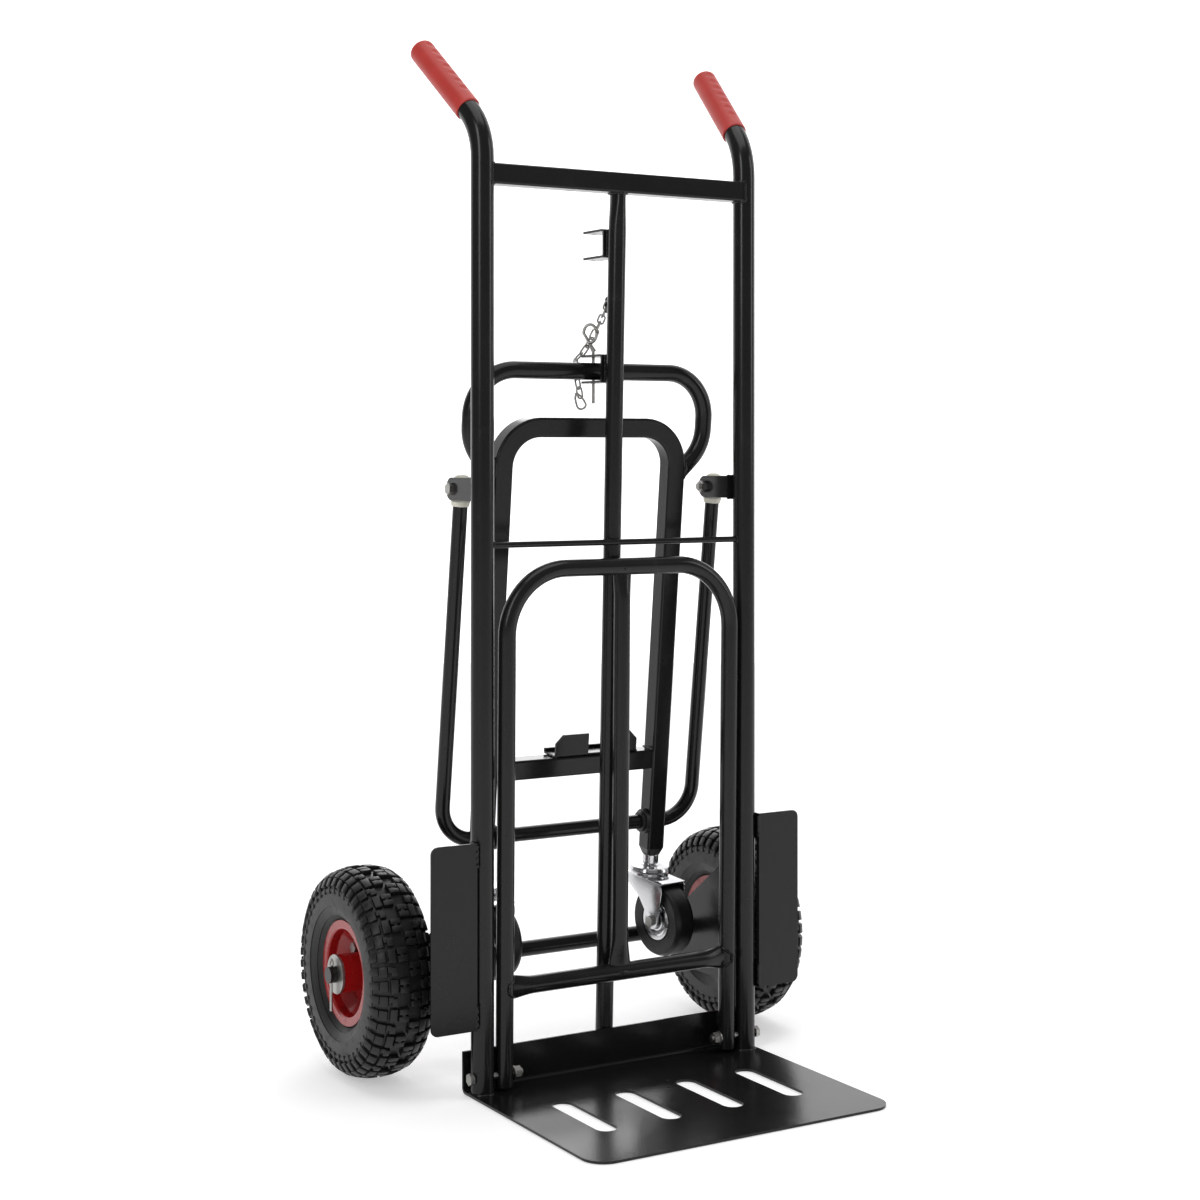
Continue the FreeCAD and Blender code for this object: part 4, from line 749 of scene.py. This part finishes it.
def beside(h, d, z):
    """A point h across and d away from the pin's shank, at height z."""
    return Vector((pin_foot.x, pin_foot.y, z)) + ACROSS * h + AWAY * d


neck = clip_high.z + 0.004
wire = [Vector((pin_foot.x, pin_foot.y, pin_low.z + (neck - pin_low.z) * i / 8)) for i in range(9)]
for i in range(25):
    turn = math.radians(-118 + i * 296 / 24)
    wire.append(beside(-0.0040 + 0.0082 * math.cos(turn), 0.0006 * i / 24,
                       neck + 0.0235 + 0.0115 * math.sin(turn)))
wire.append(beside(-0.0012, 0.0032, neck + 0.0060))
wire.append(beside(0.0020, 0.0034, neck + 0.0010))
settle(rod("lock_pin_bent", wire, PIN_WIRE, sides=5), "lock_pin", ZINC, smooth=60)
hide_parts("lock_pin")


def chain_link(long=0.0150, wide=0.0082, wire=0.00125, squeeze=0.0):
    """An oval link standing in the XZ plane; squeeze narrows its top to a corner."""
    ring = []
    for turn in around(20):
        z = math.sin(turn) * (long - wide) / 2
        z = math.copysign((long - wide) / 2, math.sin(turn)) if abs(math.sin(turn)) > 0.2 else z
        lean = 1 - squeeze * (0.5 + 0.5 * math.sin(turn))
        ring.append((math.cos(turn) * wide / 2 * lean, 0, z + math.sin(turn) * wide / 2))
    return rod("link", ring, wire, closed=True, sides=2)


path = [Vector((0, tab_high.y - 0.003, (tab_low.z + tab_high.z) / 2 - 0.001)),
        beside(0.0075, -0.006, 0.928), beside(-0.0025, 0.0035, 0.908),
        beside(-0.0125, 0.0045, 0.8935), beside(-0.0225, 0.0125, 0.8840),
        beside(-0.0218, 0.0150, 0.8640), beside(-0.0175, 0.0150, 0.8420)]
legs = [(b - a).length for a, b in zip(path, path[1:])]
LINK_PITCH = 0.0116
links = []
count = round(sum(legs) / LINK_PITCH)
for i in range(count + 1):
    at = sum(legs) * i / count
    k = 0
    while k < len(legs) - 1 and at > legs[k]:
        at -= legs[k]
        k += 1
    here = path[k].lerp(path[k + 1], min(at / legs[k], 1))
    turn = (path[k + 1] - path[k]).to_track_quat("Z", "Y").to_matrix().to_4x4()
    link = chain_link()
    twist = Matrix.Rotation(math.radians(40 + 90 * (i % 2)), 4, "Z")
    lay(link, Matrix.Translation(here) @ turn @ twist)
    links.append(link)
snap = chain_link(0.021, 0.016, 0.0014, 0.75)
lay(snap, Matrix.Translation(path[-1] - Vector((0, 0, 0.0105)))
    @ Matrix.Rotation(math.radians(-31), 4, "Z") @ Matrix.Rotation(math.radians(-24), 4, "Y"))
links.append(snap)
settle(merged("lock_chain_linked", links), "frame", ZINC, smooth=60)
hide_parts("lock_chain")


# ---------------------------------------------------------------- moulded plastics
# Cream nylon caps on the stay, black plugs and collars on the castor frame, black castor hubs:
# all injection moulded with a faint grain, and pushed on or into the tubes.
def moulded(name, low, high, rough):
    plastic = Finish(name, metallic=0.0, specular_ior_level=0.45)
    cloud = plastic.noise(60, 3)
    plastic.set("Base Color", plastic.blend(cloud, low, high))
    plastic.set("Roughness", cloud * 0.16 + rough)
    plastic.emboss(plastic.noise(800, 1) + plastic.noise(200, 2) * 0.5, 0.0001, 0.5)
    return plastic.material


dress(moulded("cream_nylon", (0.62, 0.60, 0.50, 1), (0.76, 0.74, 0.66, 1), 0.32), "nylon")
dress(moulded("black_plastic", grey(0.008), grey(0.017), 0.3), "black_plastic")


# ---------------------------------------------------------------- backdrop paper
# The floor and the wall are one white paper, lit so evenly that it nearly glows.
for surface, glow in ((floor, 0.42), (wall, 0.95)):
    paper = Finish(f"{surface.name}_paper", metallic=0.0, specular_ior_level=0.0)
    paper.set("Base Color", grey(0.8))
    paper.set("Roughness", 0.95)
    paper.set("Emission Color", grey(1.0))
    paper.set("Emission Strength", glow)
    surface.data.materials.append(paper.material)
